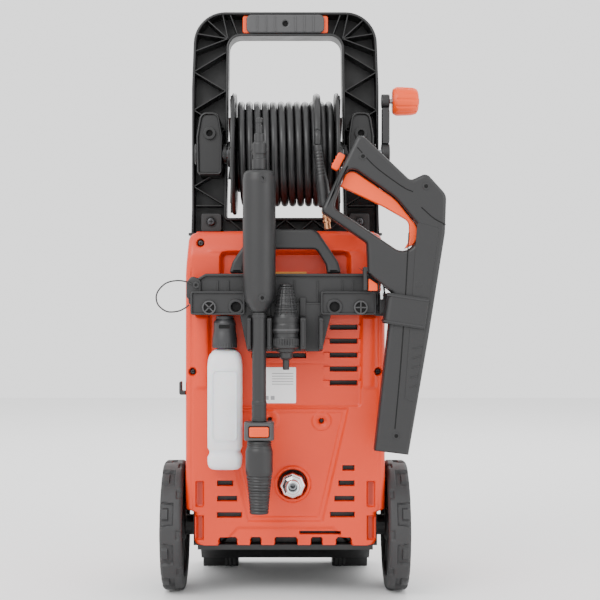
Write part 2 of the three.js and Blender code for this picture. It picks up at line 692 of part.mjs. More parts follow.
// ---- Detergent bottle ----

const BOTTLE = { x: -90, z0: 197, z1: 376.7 };

function bottle() {
  const outline = rounded([
    [-115, BOTTLE.z0, 8], [-64, BOTTLE.z0, 8], [-64, 218, 3], [-67, 223, 3], [-64, 228, 3],
    [-64, BOTTLE.z1, 14], [-115, BOTTLE.z1, 14], [-115, 228, 3], [-112, 223, 3], [-115, 218, 3],
  ], 3);
  return slab(outline, -170, -131);
}

function bottleCap() {
  const section = [
    [0, BOTTLE.z1 + GAP], [18.5, BOTTLE.z1 + GAP], [18.5, 400], [16, 408], [16, 418], [13, 425.5],
    [0, 425.5],
  ];
  return turnedZ(section, BOTTLE.x, -150.5, 24);
}

piece('bottle', bottle(), WHITE);
piece('bottle_cap', bottleCap(), BLACK);

// ---- Lance with its adjustable nozzle ----

const COLLAR = { z0: 244, z1: 271, y0: -207 };

function lanceConnector() {
  const section = [
    [0, 636.6], [10, 636.6], [10, 677], [7.5, 679], [7.5, 690], [5, 692], [5, 713], [0, 713],
  ];
  return turnedZ(section, LANCE.x, LANCE.y, 20);
}

function lanceGrip() {
  const section = [[0, 430], [10.6, 430], [21, 447], [24, 630], [22, 636.3], [0, 636.3]];
  return turnedZ(section, LANCE.x, LANCE.y);
}

function lanceTube() {
  const section = [
    [0, COLLAR.z1 + GAP], [10.7, COLLAR.z1 + GAP], [10.7, 301], [10.2, 303], [10.2, 429.7], [0, 429.7],
  ];
  return turnedZ(section, LANCE.x, LANCE.y, 24);
}

function lanceCollar() {
  const outline = rectangle(LANCE.x - 21.8, LANCE.x + 21.8, COLLAR.y0, -171, 9);
  const pocket = block(LANCE.x - 15, LANCE.x + 15, -212, -200, 249.2, 265.8);
  return cut(layer(outline, COLLAR.z0, COLLAR.z1), pocket);
}

function varioNozzle() {
  const section = [
    [0, 243.7], [18, 243.7], [18.2, 233], [19.9, 230], [19.9, 198], [13.7, 137], [10, 137],
    [9, 145], [0, 145],
  ].reverse();
  return turnedZ(section, LANCE.x, LANCE.y);
}

piece('lance_connector', lanceConnector(), BLACK);
piece('lance_grip', lanceGrip(), GREY);
piece('lance_tube', lanceTube(), GREY);
piece('lance_collar', lanceCollar(), GREY);
piece('lance_button', block(LANCE.x - 14.2, LANCE.x + 14.2, -209.5, -203.3, 250, 265), BRIGHT_ORANGE);
piece('vario_nozzle', varioNozzle(), BLACK);

function rotaryNozzle() {
  const section = [
    [0, 346], [4.8, 346], [4.8, 360], [10, 364], [10, 372], [14, 375], [19.2, 378], [19.2, 413],
    [18.2, 425], [15, 445], [9.2, 471], [0, 471],
  ];
  return turnedZ(section, SPARE.x, SPARE.y);
}

piece('rotary_nozzle', rotaryNozzle(), BLACK);

// ---- Spray gun ----

const GUN_OUTLINE = rounded([
  [107, 691, 8], [181, 621, 8], [196, 628, 6], [204, 632, 10], [233, 600, 18], [231, 545],
  [207, 394], [178, 224], [129, 230], [155, 458, 6], [120, 487, 3], [118, 531, 6], [51, 577, 8],
]);
const TRIGGER_OPENING = rounded([
  [70, 582, 8], [173, 513, 20], [201, 546, 26], [160, 596, 60], [90, 645, 14],
]);
const TRIGGER_OUTLINE = rounded([
  [173, 522], [180, 534, 12], [180, 562, 12], [144, 583, 60], [80, 613], [91, 641, 12],
  [160, 594, 60], [198, 546, 24], [186, 528, 6],
]);
const TRIGGER_HALF = 8;

// The trigger pulled by an angle, or with some room round it, the space that it needs there.
function triggerAt(degrees, room = 0) {
  const angle = THREE.MathUtils.degToRad(degrees);
  const half = TRIGGER_HALF + 2 * room;
  const shape = slab(grown(TRIGGER_OUTLINE, room), GUN_Y - half, GUN_Y + half);
  return leaning(shape, angle, TRIGGER_PIVOT.x, TRIGGER_PIVOT.z);
}

const LOCK = { x: 77, z: 649, angle: THREE.MathUtils.degToRad(27.6) };

// A block set square to the gun's sloping left edge, by its depth into the gun and its height.
function edgeBlock(x0, x1, half, z0, z1) {
  const part = block(LOCK.x + x0, LOCK.x + x1, GUN_Y - half, GUN_Y + half, LOCK.z + z0, LOCK.z + z1);
  return leaning(part, LOCK.angle, LOCK.x, LOCK.z);
}

const NIPPLE = { x: 141, radius: 4.2 };

function gunBody() {
  const body = slab(GUN_OUTLINE, GUN_Y - GUN_HALF, GUN_Y + GUN_HALF);
  const lug = [block(113, 118.5, -200, -180, 462, 496), block(118, 124, -200, -180, 489, 496)];
  const opening = slab(TRIGGER_OPENING, GUN_Y - GUN_HALF - 1, GUN_Y + GUN_HALF + 1);
  const travel = [0, 1, 2, 3, 4, 5, TRIGGER_TRAVEL].map((degrees) => triggerAt(degrees, 0.5));
  const lockPocket = edgeBlock(-12, 9.5, 7.5, -14, 14);
  const nippleBore = turnedZ(rod(NIPPLE.radius + GAP, 440, 476), NIPPLE.x, GUN_Y, 16);
  return cut(join(body, ...lug), opening, ...travel, lockPocket, nippleBore);
}

function gunRelease() {
  const outline = rounded([[120.5, 461], [134, 461], [134, 471], [120.5, 480]]);
  return slab(outline, -198, -182);
}

function gunNipple() {
  const section = [
    [0, 449], [3.6, 449], [3.6, 455], [NIPPLE.radius, 457], [NIPPLE.radius, 475.5], [0, 475.5],
  ];
  return turnedZ(section, NIPPLE.x, GUN_Y, 16);
}

piece('gun_body', gunBody(), GREY);
piece('gun_trigger', triggerAt(0), BRIGHT_ORANGE);
piece('gun_lock', edgeBlock(-6, 6, 7, -13, 13), BRIGHT_ORANGE);
piece('gun_release', gunRelease(), BRIGHT_ORANGE);
piece('gun_nipple', gunNipple(), CHROME);

// ---- The whole machine, with its origin on the floor under the middle of its footprint ----

piece('retaining_loop', tube(LOOP_POINTS, 1.15, 8, 24), BLACK, cordPieces);

const box = new THREE.Box3().setFromObject(machine);
const centre = box.getCenter(new THREE.Vector3());
const pressureWasher = new THREE.Group();
pressureWasher.add(machine, cordPieces);
pressureWasher.position.set(-centre.x, -centre.y, -box.min.z);

export default pressureWasher;
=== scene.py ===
"""A portable pressure washer seen from behind, with its hose reel, gun, lance and detergent bottle."""
import json
import math

import bmesh
import bpy
import numpy as np
from mathutils import Matrix, Vector

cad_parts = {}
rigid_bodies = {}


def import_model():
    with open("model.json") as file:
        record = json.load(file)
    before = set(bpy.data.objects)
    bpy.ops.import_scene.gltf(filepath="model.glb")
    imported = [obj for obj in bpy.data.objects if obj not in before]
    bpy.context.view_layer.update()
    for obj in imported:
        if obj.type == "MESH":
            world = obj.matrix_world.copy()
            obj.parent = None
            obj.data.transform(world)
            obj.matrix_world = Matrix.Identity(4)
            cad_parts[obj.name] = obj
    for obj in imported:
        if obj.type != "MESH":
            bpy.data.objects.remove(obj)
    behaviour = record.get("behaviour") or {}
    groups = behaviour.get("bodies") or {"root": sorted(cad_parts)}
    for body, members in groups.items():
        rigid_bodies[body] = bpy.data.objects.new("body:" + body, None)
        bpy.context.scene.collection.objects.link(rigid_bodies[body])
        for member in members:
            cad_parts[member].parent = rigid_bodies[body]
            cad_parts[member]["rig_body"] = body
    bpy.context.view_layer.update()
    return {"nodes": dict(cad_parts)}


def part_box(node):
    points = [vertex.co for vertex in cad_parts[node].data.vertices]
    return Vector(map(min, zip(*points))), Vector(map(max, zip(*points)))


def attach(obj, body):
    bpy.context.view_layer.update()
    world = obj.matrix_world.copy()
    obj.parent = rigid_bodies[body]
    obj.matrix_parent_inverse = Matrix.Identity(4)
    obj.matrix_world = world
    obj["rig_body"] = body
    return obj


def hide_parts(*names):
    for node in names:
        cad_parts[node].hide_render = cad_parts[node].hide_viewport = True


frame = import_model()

MM = 0.001
GAP = 0.3

# Drawings are in millimetres from the middle of the body, with the floor at zero height.
AXLE_Y, AXLE_Z = -60, 100
REEL_Y, REEL_Z = -62, 674
REAR_Y, SEAM_Y, FRONT_Y = -130, -100.3, 145
left_wheel, right_wheel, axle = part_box("wheel_left"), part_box("wheel_right"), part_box("wheel_axle")
ORIGIN = Vector((
    (left_wheel[0].x + right_wheel[1].x) / 2,
    (axle[0].y + axle[1].y) / 2 - AXLE_Y * MM,
    0,
))


def at(x, y, z):
    """A point of the drawings, in the row frame."""
    return Vector((x, y, z)) * MM + ORIGIN


# ---- Camera and light ----

def make_camera():
    data = bpy.data.cameras.new("camera")
    data.lens, data.sensor_width, data.shift_x = 80, 36, 0.0245
    camera = bpy.data.objects.new("camera", data)
    camera.location = at(0, -2130, 448)
    camera.rotation_euler = (math.radians(90), 0, 0)
    bpy.context.scene.collection.objects.link(camera)
    bpy.context.scene.camera = camera


def area_light(name, place, target, size, power):
    data = bpy.data.lights.new(name, "AREA")
    data.shape, data.size, data.size_y, data.energy = "RECTANGLE", size[0], size[1], power
    lamp = bpy.data.objects.new(name, data)
    lamp.location = place
    lamp.rotation_euler = (Vector(target) - Vector(place)).to_track_quat("-Z", "Y").to_euler()
    bpy.context.scene.collection.objects.link(lamp)


def make_lights():
    area_light("key", (-1.3, -2.0, 2.0), (0, 0, 0.45), (1.6, 1.2), 44)
    area_light("fill", (1.9, -1.6, 1.1), (0, 0, 0.45), (1.2, 1.8), 14)
    area_light("back", (0.3, 2.2, 2.2), (0, 0, 0.5), (2.4, 1.2), 40)
    world = bpy.data.worlds.new("studio")
    world.use_nodes = True
    backdrop = world.node_tree.nodes["Background"]
    backdrop.inputs["Color"].default_value = (1, 1, 1, 1)
    backdrop.inputs["Strength"].default_value = 1.7
    bpy.context.scene.world = world


# ---- Outlines ----

def rounded(corners, steps=6):
    """Points round an outline whose corners are (a, b) or (a, b, radius)."""
    points = []
    for i, corner in enumerate(corners):
        here = Vector(corner[:2])
        radius = corner[2] if len(corner) > 2 else 0
        if not radius:
            points.append(tuple(here))
            continue
        back = (Vector(corners[i - 1][:2]) - here).normalized()
        onward = (Vector(corners[(i + 1) % len(corners)][:2]) - here).normalized()
        half = back.angle(onward) / 2
        reach = radius / math.tan(half)
        middle = here + (back + onward).normalized() * radius / math.sin(half)
        start = here + back * reach - middle
        end = here + onward * reach - middle
        first = math.atan2(start.y, start.x)
        sweep = math.remainder(math.atan2(end.y, end.x) - first, 2 * math.pi)
        for k in range(steps + 1):
            a = first + sweep * k / steps
            points.append((middle.x + radius * math.cos(a), middle.y + radius * math.sin(a)))
    return points


def mirrored(corners):
    return [*corners, *((-c[0], *c[1:]) for c in reversed(corners))]


def rectangle(x0, x1, z0, z1, radius=0.0, steps=6):
    return rounded([(x0, z0, radius), (x1, z0, radius), (x1, z1, radius), (x0, z1, radius)], steps)


def circle(x, z, radius, sides=40):
    turns = [2 * math.pi * i / sides for i in range(sides)]
    return [(x + radius * math.cos(a), z + radius * math.sin(a)) for a in turns]


def grown(outline, distance):
    """The outline moved outwards everywhere by a distance."""
    points = [Vector(p) for p in outline]
    area = sum(a.x * b.y - b.x * a.y for a, b in zip(points, points[1:] + points[:1]))
    turn = 1 if area > 0 else -1
    moved = []
    for i, point in enumerate(points):
        a = (point - points[i - 1]).normalized()
        b = (points[(i + 1) % len(points)] - point).normalized()
        normal_a, normal_b = Vector((a.y, -a.x)), Vector((b.y, -b.x))
        miter = (normal_a + normal_b).normalized()
        moved.append(tuple(point + miter * turn * distance / max(miter.dot(normal_a), 0.3)))
    return moved


# ---- Solids: each is (points, faces), in millimetres ----

PLANES = {
    "xz": Matrix(((1, 0, 0), (0, 0, -1), (0, 1, 0))),
    "yz": Matrix(((0, 0, 1), (1, 0, 0), (0, 1, 0))),
    "xy": Matrix.Identity(3),
}


def slab(loops, lo, hi, edge=1.0, plane="xz", steps=2):
    """Outlines, the first with holes after it, made solid from lo to hi with rounded edges."""
    curve = bpy.data.curves.new("outline", "CURVE")
    curve.dimensions, curve.fill_mode = "2D", "BOTH"
    for loop in loops:
        spline = curve.splines.new("POLY")
        spline.points.add(len(loop) - 1)
        spline.use_cyclic_u = True
        for point, (a, b) in zip(spline.points, loop):
            point.co = (a, b, 0, 1)
    curve.extrude = (hi - lo) / 2 - edge
    curve.bevel_depth, curve.bevel_resolution, curve.offset = edge, steps, -edge
    holder = bpy.data.objects.new("outline", curve)
    mesh = bpy.data.meshes.new_from_object(holder)
    middle = (lo + hi) / 2 * (-1 if plane == "xz" else 1)
    turn = PLANES[plane]
    points = [turn @ (v.co + Vector((0, 0, middle))) for v in mesh.vertices]
    faces = [tuple(p.vertices) for p in mesh.polygons]
    bpy.data.meshes.remove(mesh)
    bpy.data.curves.remove(curve)
    return points, faces


def softened(profile, radius, steps=3):
    """A lathe profile with its corners rounded."""
    points = [Vector(p) for p in profile]
    soft = [tuple(points[0])]
    for before, here, after in zip(points, points[1:], points[2:]):
        reach = min(radius, (here - before).length * 0.45, (after - here).length * 0.45)
        start = here + (before - here).normalized() * reach
        end = here + (after - here).normalized() * reach
        for k in range(steps + 1):
            t = k / steps
            soft.append(tuple(start * (1 - t) ** 2 + here * 2 * t * (1 - t) + end * t * t))
    return [*soft, tuple(points[-1])]


def lathe(profile, centre, axis="z", sides=64, radius_at=None):
    """A profile of (radius, place) turned about an axis through centre.

    radius_at(radius, place, angle) may shape the turned surface, such as with flutes."""
    rings, points, faces = [], [], []
    for radius, place in profile:
        ring = []
        for i in range(1 if radius == 0 else sides):
            a = 2 * math.pi * i / sides
            r = radius_at(radius, place, a) if radius_at and radius else radius
            u, v = r * math.cos(a), r * math.sin(a)
            spot = {"z": (u, v, place), "x": (place, u, v), "y": (v, place, u)}[axis]
            ring.append(len(points))
            points.append(Vector(spot) + Vector(centre))
        rings.append(ring)
    for low, high in zip(rings, rings[1:]):
        for i in range(sides):
            j = (i + 1) % sides
            corners = [low[i % len(low)], low[j % len(low)], high[j % len(high)], high[i % len(high)]]
            face = tuple(dict.fromkeys(corners))
            if len(face) > 2:
                faces.append(face)
    return points, faces


def aimed(part, start, end):
    """A part drawn up the Z axis from nought, moved to run from one point to another."""
    points, faces = part
    turn = (Vector(end) - Vector(start)).to_track_quat("Z", "Y").to_matrix()
    return [turn @ p + Vector(start) for p in points], faces


def leaning(part, degrees, x, z):
    """A part turned about a line along Y through x, z."""
    points, faces = part
    centre = Vector((x, 0, z))
    turn = Matrix.Rotation(math.radians(degrees), 3, "Y")
    return [turn @ (p - centre) + centre for p in points], faces


def rib(start, end, y0, y1, thick=2.0):
    """A thin upright wall between two points of the rear view."""
    a, b = Vector(start), Vector(end)
    side = (b - a).normalized() * thick / 2
    side = Vector((-side.y, side.x))
    return slab([[tuple(a + side), tuple(a - side), tuple(b - side), tuple(b + side)]], y0, y1, 0.3)


def loft(sections):
    """Rings of the same number of points, joined into one skin with closed ends."""
    points = [Vector(p) for ring in sections for p in ring]
    count = len(sections[0])
    faces = []
    for k in range(len(sections) - 1):
        for i in range(count):
            j = (i + 1) % count
            faces.append((k * count + i, k * count + j, (k + 1) * count + j, (k + 1) * count + i))
    faces.append(tuple(reversed(range(count))))
    faces.append(tuple(range(len(points) - count, len(points))))
    return points, faces


def tube(path, radius, sides=16):
    """A round tube with closed ends along points in millimetres."""
    line = [Vector(p) for p in path]
    sections = []
    normal = None
    for i, point in enumerate(line):
        along = (line[min(i + 1, len(line) - 1)] - line[max(i - 1, 0)]).normalized()
        normal = along.orthogonal() if normal is None else normal - along * normal.dot(along)
        normal.normalize()
        across = along.cross(normal)
        turns = [2 * math.pi * k / sides for k in range(sides)]
        sections.append([point + (normal * math.cos(a) + across * math.sin(a)) * radius for a in turns])
    return loft(sections)


def smooth_line(points, steps=8):
    """A Catmull-Rom line through points."""
    line = [Vector(p) for p in points]
    padded = [2 * line[0] - line[1], *line, 2 * line[-1] - line[-2]]
    out = []
    for p0, p1, p2, p3 in zip(padded, padded[1:], padded[2:], padded[3:]):
        for k in range(steps):
            t = k / steps
            out.append(0.5 * (
                2 * p1 + (p2 - p0) * t + (2 * p0 - 5 * p1 + 4 * p2 - p3) * t * t
                + (3 * p1 - p0 - 3 * p2 + p3) * t ** 3
            ))
    return [*out, line[-1]]


def piece(name, parts, finish, body="root", replaces=(), sharp=38, flat=True, shade=None):
    """One visible object made of solids, riding on a CAD body."""
    mesh = bpy.data.meshes.new(name)
    points, faces = [], []
    for part_points, part_faces in parts:
        first = len(points)
        points += [at(*p) for p in part_points]
        faces += [tuple(first + i for i in face) for face in part_faces]
    mesh.from_pydata(points, [], faces)
    if shade is not None:
        layer = mesh.attributes.new("shade", "FLOAT", "POINT")
        layer.data.foreach_set("value", np.asarray(shade, np.float32))
    work = bmesh.new()
    work.from_mesh(mesh)
    bmesh.ops.remove_doubles(work, verts=work.verts, dist=1e-6)
    bmesh.ops.recalc_face_normals(work, faces=work.faces)
    work.to_mesh(mesh)
    work.free()
    mesh.polygons.foreach_set("use_smooth", [True] * len(mesh.polygons))
    mesh.set_sharp_from_angle(angle=math.radians(sharp))
    mesh.materials.append(finish)
    obj = bpy.data.objects.new(name, mesh)
    bpy.context.scene.collection.objects.link(obj)
    if flat:
        weighted = obj.modifiers.new("weighted", "WEIGHTED_NORMAL")
        weighted.keep_sharp = True
    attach(obj, body)
    if replaces:
        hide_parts(*replaces)
    return obj


def carried(node, finish, edge=0.6):
    """A CAD node that stays, with its own finish and softened edges."""
    obj = frame["nodes"][node]
    obj.data.materials.clear()
    obj.data.materials.append(finish)
    bevel = obj.modifiers.new("edges", "BEVEL")
    bevel.width, bevel.segments = edge * MM, 2
    bevel.limit_method, bevel.angle_limit = "ANGLE", math.radians(35)
    obj.modifiers.new("weighted", "WEIGHTED_NORMAL")


# ---- Materials ----

def linear(r, g, b):
    """A colour given as it looks on screen, from 0 to 255, as the shader wants it."""
    def one(value):
        value /= 255
        return value / 12.92 if value <= 0.04045 else ((value + 0.055) / 1.055) ** 2.4
    return one(r), one(g), one(b), 1.0


def scaled(color, factor):
    return tuple(min(c * factor, 1) for c in color[:3]) + (1.0,)


class Nodes:
    """A short way to write a node material."""

    def __init__(self, name):
        self.material = bpy.data.materials.new(name)
        self.material.use_nodes = True
        self.tree = self.material.node_tree
        self.shader = self.tree.nodes["Principled BSDF"]
        self.place = self.new("ShaderNodeTexCoord").outputs["Object"]

    def new(self, kind, **values):
        node = self.tree.nodes.new(kind)
        for key, value in values.items():
            setattr(node, key, value)
        return node

    def link(self, source, target):
        self.tree.links.new(source, target)

    def noise(self, scale, detail=3.0, roughness=0.5):
        node = self.new("ShaderNodeTexNoise")
        node.inputs["Scale"].default_value = scale
        node.inputs["Detail"].default_value = detail
        node.inputs["Roughness"].default_value = roughness
        self.link(self.place, node.inputs["Vector"])
        return node.outputs["Fac"]

    def ranged(self, value, from_low, from_high, to_low, to_high):
        node = self.new("ShaderNodeMapRange")
        for socket, number in zip(list(node.inputs)[1:5], (from_low, from_high, to_low, to_high)):
            socket.default_value = number
        self.link(value, node.inputs["Value"])
        return node.outputs["Result"]

    def mixed(self, factor, first, second):
        node = self.new("ShaderNodeMix", data_type="RGBA")
        self.link(factor, node.inputs["Factor"])
        for socket, value in ((node.inputs[6], first), (node.inputs[7], second)):
            if isinstance(value, tuple):
                socket.default_value = value
            else:
                self.link(value, socket)
        return node.outputs[2]

    def bumped(self, height, strength, distance, onto=None):
        node = self.new("ShaderNodeBump")
        node.inputs["Strength"].default_value = strength
        node.inputs["Distance"].default_value = distance
        self.link(height, node.inputs["Height"])
        if onto is not None:
            self.link(onto, node.inputs["Normal"])
        return node.outputs["Normal"]


def moulded(name, color, roughness=0.42, grain=2600.0, depth=0.00012, wear=0.5, spread=0.05, shaded=False):
    """Moulded plastic: a spark-eroded grain, a slight drift of colour and gloss, and paler rubbed edges; when
    shaded, painted shade from the 'shade' attribute turns the colour near black.
    """
    m = Nodes(name)
    drift = m.noise(9.0, 4.0, 0.6)
    tone = m.mixed(m.ranged(drift, 0.3, 0.7, 0, 1), scaled(color, 1 - spread), scaled(color, 1 + spread))
    speck = m.noise(700.0, 2.0)
    tone = m.mixed(m.ranged(speck, 0.58, 0.75, 0, 0.22), tone, scaled(color, 1.25))
    edge = m.new("ShaderNodeNewGeometry").outputs["Pointiness"]
    rubbed = m.ranged(edge, 0.53, 0.62, 0, wear)
    tone = m.mixed(rubbed, tone, scaled(color, 1.7))
    # Painted shade: the 'shade' attribute mixes the colour to near black where the mesh marks slots and
    # holes.
    if shaded:
        shade = m.new("ShaderNodeAttribute", attribute_name="shade").outputs["Fac"]
        tone = m.mixed(shade, tone, (0.003, 0.002, 0.002, 1))
    m.link(tone, m.shader.inputs["Base Color"])
    gloss = m.ranged(m.noise(38.0, 5.0, 0.65), 0.3, 0.7, roughness - 0.06, roughness + 0.07)
    m.link(gloss, m.shader.inputs["Roughness"])
    fine = m.bumped(m.noise(grain, 2.0), 0.35, depth)
    wavy = m.bumped(m.noise(24.0, 2.0), 0.12, 0.0008, fine)
    m.link(wavy, m.shader.inputs["Normal"])
    return m.material


def rubbery(name, color):
    """Hose rubber: matt, with faint lengthwise scuffs and dust."""
    m = Nodes(name)
    dust = m.ranged(m.noise(60.0, 6.0, 0.7), 0.45, 0.75, 0, 0.6)
    m.link(m.mixed(dust, color, scaled(color, 2.2)), m.shader.inputs["Base Color"])
    m.link(m.ranged(m.noise(140.0, 4.0), 0.3, 0.7, 0.32, 0.46), m.shader.inputs["Roughness"])
    m.link(m.bumped(m.noise(1500.0, 2.0), 0.25, 0.0001), m.shader.inputs["Normal"])
    return m.material


def metal(name, color, roughness, scratch=0.1):
    """Metal with fine turning marks and a little tarnish."""
    m = Nodes(name)
    m.shader.inputs["Metallic"].default_value = 1.0
    tarnish = m.ranged(m.noise(45.0, 5.0, 0.6), 0.4, 0.7, 0, 0.55)
    m.link(m.mixed(tarnish, color, scaled(color, 0.62)), m.shader.inputs["Base Color"])
    m.link(m.ranged(m.noise(300.0, 3.0), 0.3, 0.7, roughness, roughness + scratch),
           m.shader.inputs["Roughness"])
    m.link(m.bumped(m.noise(1800.0, 2.0), 0.2, 0.00006), m.shader.inputs["Normal"])
    return m.material


def milky(name, color):
    """Translucent blow-moulded plastic, cloudy and slightly uneven in thickness."""
    m = Nodes(name)
    cloud = m.ranged(m.noise(22.0, 3.0), 0.3, 0.7, 0, 1)
    m.link(m.mixed(cloud, scaled(color, 0.96), scaled(color, 1.05)), m.shader.inputs["Base Color"])
    m.link(m.ranged(m.noise(80.0, 3.0), 0.3, 0.7, 0.3, 0.4), m.shader.inputs["Roughness"])
    m.shader.inputs["Subsurface Weight"].default_value = 0.35
    m.shader.inputs["Subsurface Scale"].default_value = 0.012
    m.link(m.bumped(m.noise(55.0, 2.0), 0.2, 0.0006), m.shader.inputs["Normal"])
    return m.material


def studio_floor():
    bpy.ops.mesh.primitive_plane_add(size=8, location=(0, 0, 0))
    floor = bpy.context.object
    floor.name = "floor"
    m = Nodes("floor_paint")
    m.shader.inputs["Roughness"].default_value = 0.9
    m.link(m.mixed(m.noise(3.0), (0.87, 0.87, 0.87, 1), (0.89, 0.89, 0.89, 1)), m.shader.inputs["Base Color"])
    floor.data.materials.append(m.material)


# The orange takes painted shade where the rear cover's 'shade' attribute marks slots and holes.
ORANGE = moulded("orange", linear(214, 51, 0), 0.4, wear=0.15, spread=0.03, shaded=True)
BRIGHT = moulded("bright_orange", linear(232, 72, 0), 0.42, wear=0.2, spread=0.03)
BLACK = moulded("black", linear(27, 27, 28), 0.46, grain=1900.0)
JET = moulded("jet_black", linear(13, 13, 14), 0.4, grain=1900.0, wear=0.4)
GREY = moulded("grey", linear(60, 60, 61), 0.45, grain=1900.0, wear=0.35)
DARK = moulded("nozzle_black", linear(28, 28, 29), 0.42, grain=2200.0)
CAP = moulded("cap_grey", linear(42, 42, 44), 0.44)
WHEEL = moulded("wheel_grey", linear(40, 40, 41), 0.6, grain=1300.0, depth=0.0002)
RUBBER = rubbery("hose_rubber", linear(24, 24, 25))
# Painted shadow: a near-black matt finish for pieces set in holes, slots, recesses and grooves, where there
# is only shade.
PAINTED_SHADOW = moulded("deep_shadow", linear(4, 4, 4), 0.95, wear=0.0)
BOTTLE = milky("milky_plastic", linear(226, 226, 229))
LABEL = moulded("label_paper", linear(236, 236, 236), 0.5, grain=900.0, wear=0.0, spread=0.01)
PRINT = moulded("label_print", linear(150, 150, 152), 0.6, wear=0.0)
AMBER = moulded("amber_strip", linear(232, 155, 55), 0.4, wear=0.1)
SCREW = metal("dark_steel", linear(74, 74, 76), 0.3)
STEEL = metal("zinc_steel", linear(160, 162, 165), 0.28)
CHROME = metal("chrome", linear(226, 228, 230), 0.08, 0.08)
BRASS = metal("brass", linear(206, 150, 110), 0.24)
ALUMINIUM = metal("cast_aluminium", linear(190, 192, 195), 0.42)
WHITE = moulded("white_plastic", linear(228, 228, 224), 0.35, wear=0.1, spread=0.01)


# ---- Hoses and cords ----

HOSE_RADIUS = 5.5
WINDING_RADIUS = 81.5


def cord_curve(name, points, radius, finish, body):
    """A cord: one smooth open curve with a round section."""
    curve = bpy.data.curves.new(name, "CURVE")
    curve.dimensions = "3D"
    curve.bevel_depth, curve.bevel_resolution, curve.use_fill_caps = radius * MM, 5, True
    spline = curve.splines.new("POLY")
    spline.points.add(len(points) - 1)
    for point, place in zip(spline.points, points):
        point.co = (*at(*place), 1)
    obj = bpy.data.objects.new(name, curve)
    bpy.context.scene.collection.objects.link(obj)
    curve.materials.append(finish)
    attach(obj, body)
    return obj


def winding_points():
    """The wound hose: two layers on the drum, the inner one left to right and the outer one back."""
    per_turn, pitch, reach = 40, 12.2, 68.0
    turns = 2 * reach / pitch
    steps = int(turns * per_turn)
    inner, outer = 64.9, WINDING_RADIUS - HOSE_RADIUS - 0.1
    climb = per_turn
    points = []
    for k in range(2 * steps + climb + 1):
        a = 2 * math.pi * k / per_turn
        if k <= steps:
            x, radius = -reach + 2 * reach * k / steps, inner
        elif k <= steps + climb:
            t = (k - steps) / climb
            x, radius = reach, inner + (outer - inner) * t * t * (3 - 2 * t)
        else:
            x, radius = reach - 2 * reach * (k - steps - climb) / steps, outer
        points.append((x, REEL_Y - radius * math.cos(a), REEL_Z + radius * math.sin(a)))
    return points


HOSE_X, HOSE_END_Y, HOSE_END_Z = 48, -152.5, 679


def tail_points():
    """The hose's loose end: over the top of the winding, then down its rear side."""
    radius = WINDING_RADIUS + HOSE_RADIUS + 1.2
    route = []
    for degrees in range(60, -90, -15):
        a = math.radians(degrees)
        route.append((HOSE_X, REEL_Y + radius * math.sin(a), REEL_Z + radius * math.cos(a)))
    route += [(HOSE_X, HOSE_END_Y, HOSE_END_Z + 16), (HOSE_X, HOSE_END_Y, HOSE_END_Z)]
    return [tuple(p) for p in smooth_line(route, 3)]


LOOP_ROUTE = [
    (-137.2, 471), (-146, 475), (-160, 476.5), (-175, 473), (-186, 463), (-190, 452), (-186.5, 440),
    (-174, 431), (-158, 431.5), (-148, 436), (-141.6, 441),
]


def make_cords():
    wound = winding_points()
    winding = cord_curve("wound_hose", wound, HOSE_RADIUS, RUBBER, "reel")
    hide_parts("hose_winding")
    loose = tail_points()
    tail = cord_curve("loose_hose", loose, HOSE_RADIUS, RUBBER, "root")
    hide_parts("hose_tail")
    sleeve, fitting = make_hose_end()
    route = [tuple(p) for p in smooth_line([(x, -168, z) for x, z in LOOP_ROUTE], 5)]
    loop = cord_curve("wire_loop", route, 1.15, BLACK, "root")
    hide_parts("retaining_loop")


def make_hose_end():
    top, bottom = (HOSE_X, HOSE_END_Y, HOSE_END_Z - 3 * GAP), (59, -156, 585)
    length = (Vector(bottom) - Vector(top)).length
    outline = softened([
        (0, 0.3), (6.9, 0.3), (7.4, 6), (7.4, 30), (9.4, 55), (9.9, length - 4), (8.4, length - 0.3),
        (0, length - 0.3),
    ], 2)

    def ringed(radius, place, angle):
        return radius - (0.5 if 10 < place < 48 and place % 5 < 1.6 else 0)

    fine = refine(outline, 0.8)
    sleeve = piece(
        "hose_end_sleeve", [aimed(lathe(fine, (0, 0, 0), "z", 40, ringed), top, bottom)],
        RUBBER, replaces=["hose_sleeve"], flat=False, sharp=60,
    )
    end = tuple(2 * Vector(bottom) - Vector(top))
    turned = softened([
        (0, 0.4), (4.2, 0.4), (4.2, 10), (6, 11), (6, 15.5), (4.6, 16.2), (4.6, 18), (6, 18.7), (6, 22),
        (4.9, 23), (4.9, 32), (3.4, 32), (3.2, 24), (0, 24),
    ], 0.5)
    nut = slab([circle(0, 0, 6.4, 6)], 3, 9.5, 0.5, "xy")
    fitting = piece(
        "hose_end_fitting", [aimed(lathe(turned, (0, 0, 0), "z", 40), bottom, end), aimed(nut, bottom, end)],
        BRASS, replaces=["hose_fitting"],
    )
    return sleeve, fitting


def refine(profile, step):
    """A lathe profile with points at most a step apart."""
    out = [profile[0]]
    for (r0, h0), (r1, h1) in zip(profile, profile[1:]):
        count = max(1, math.ceil(math.hypot(r1 - r0, h1 - h0) / step))
        out += [(r0 + (r1 - r0) * k / count, h0 + (h1 - h0) * k / count) for k in range(1, count + 1)]
    return out


# ---- Covers and base ----

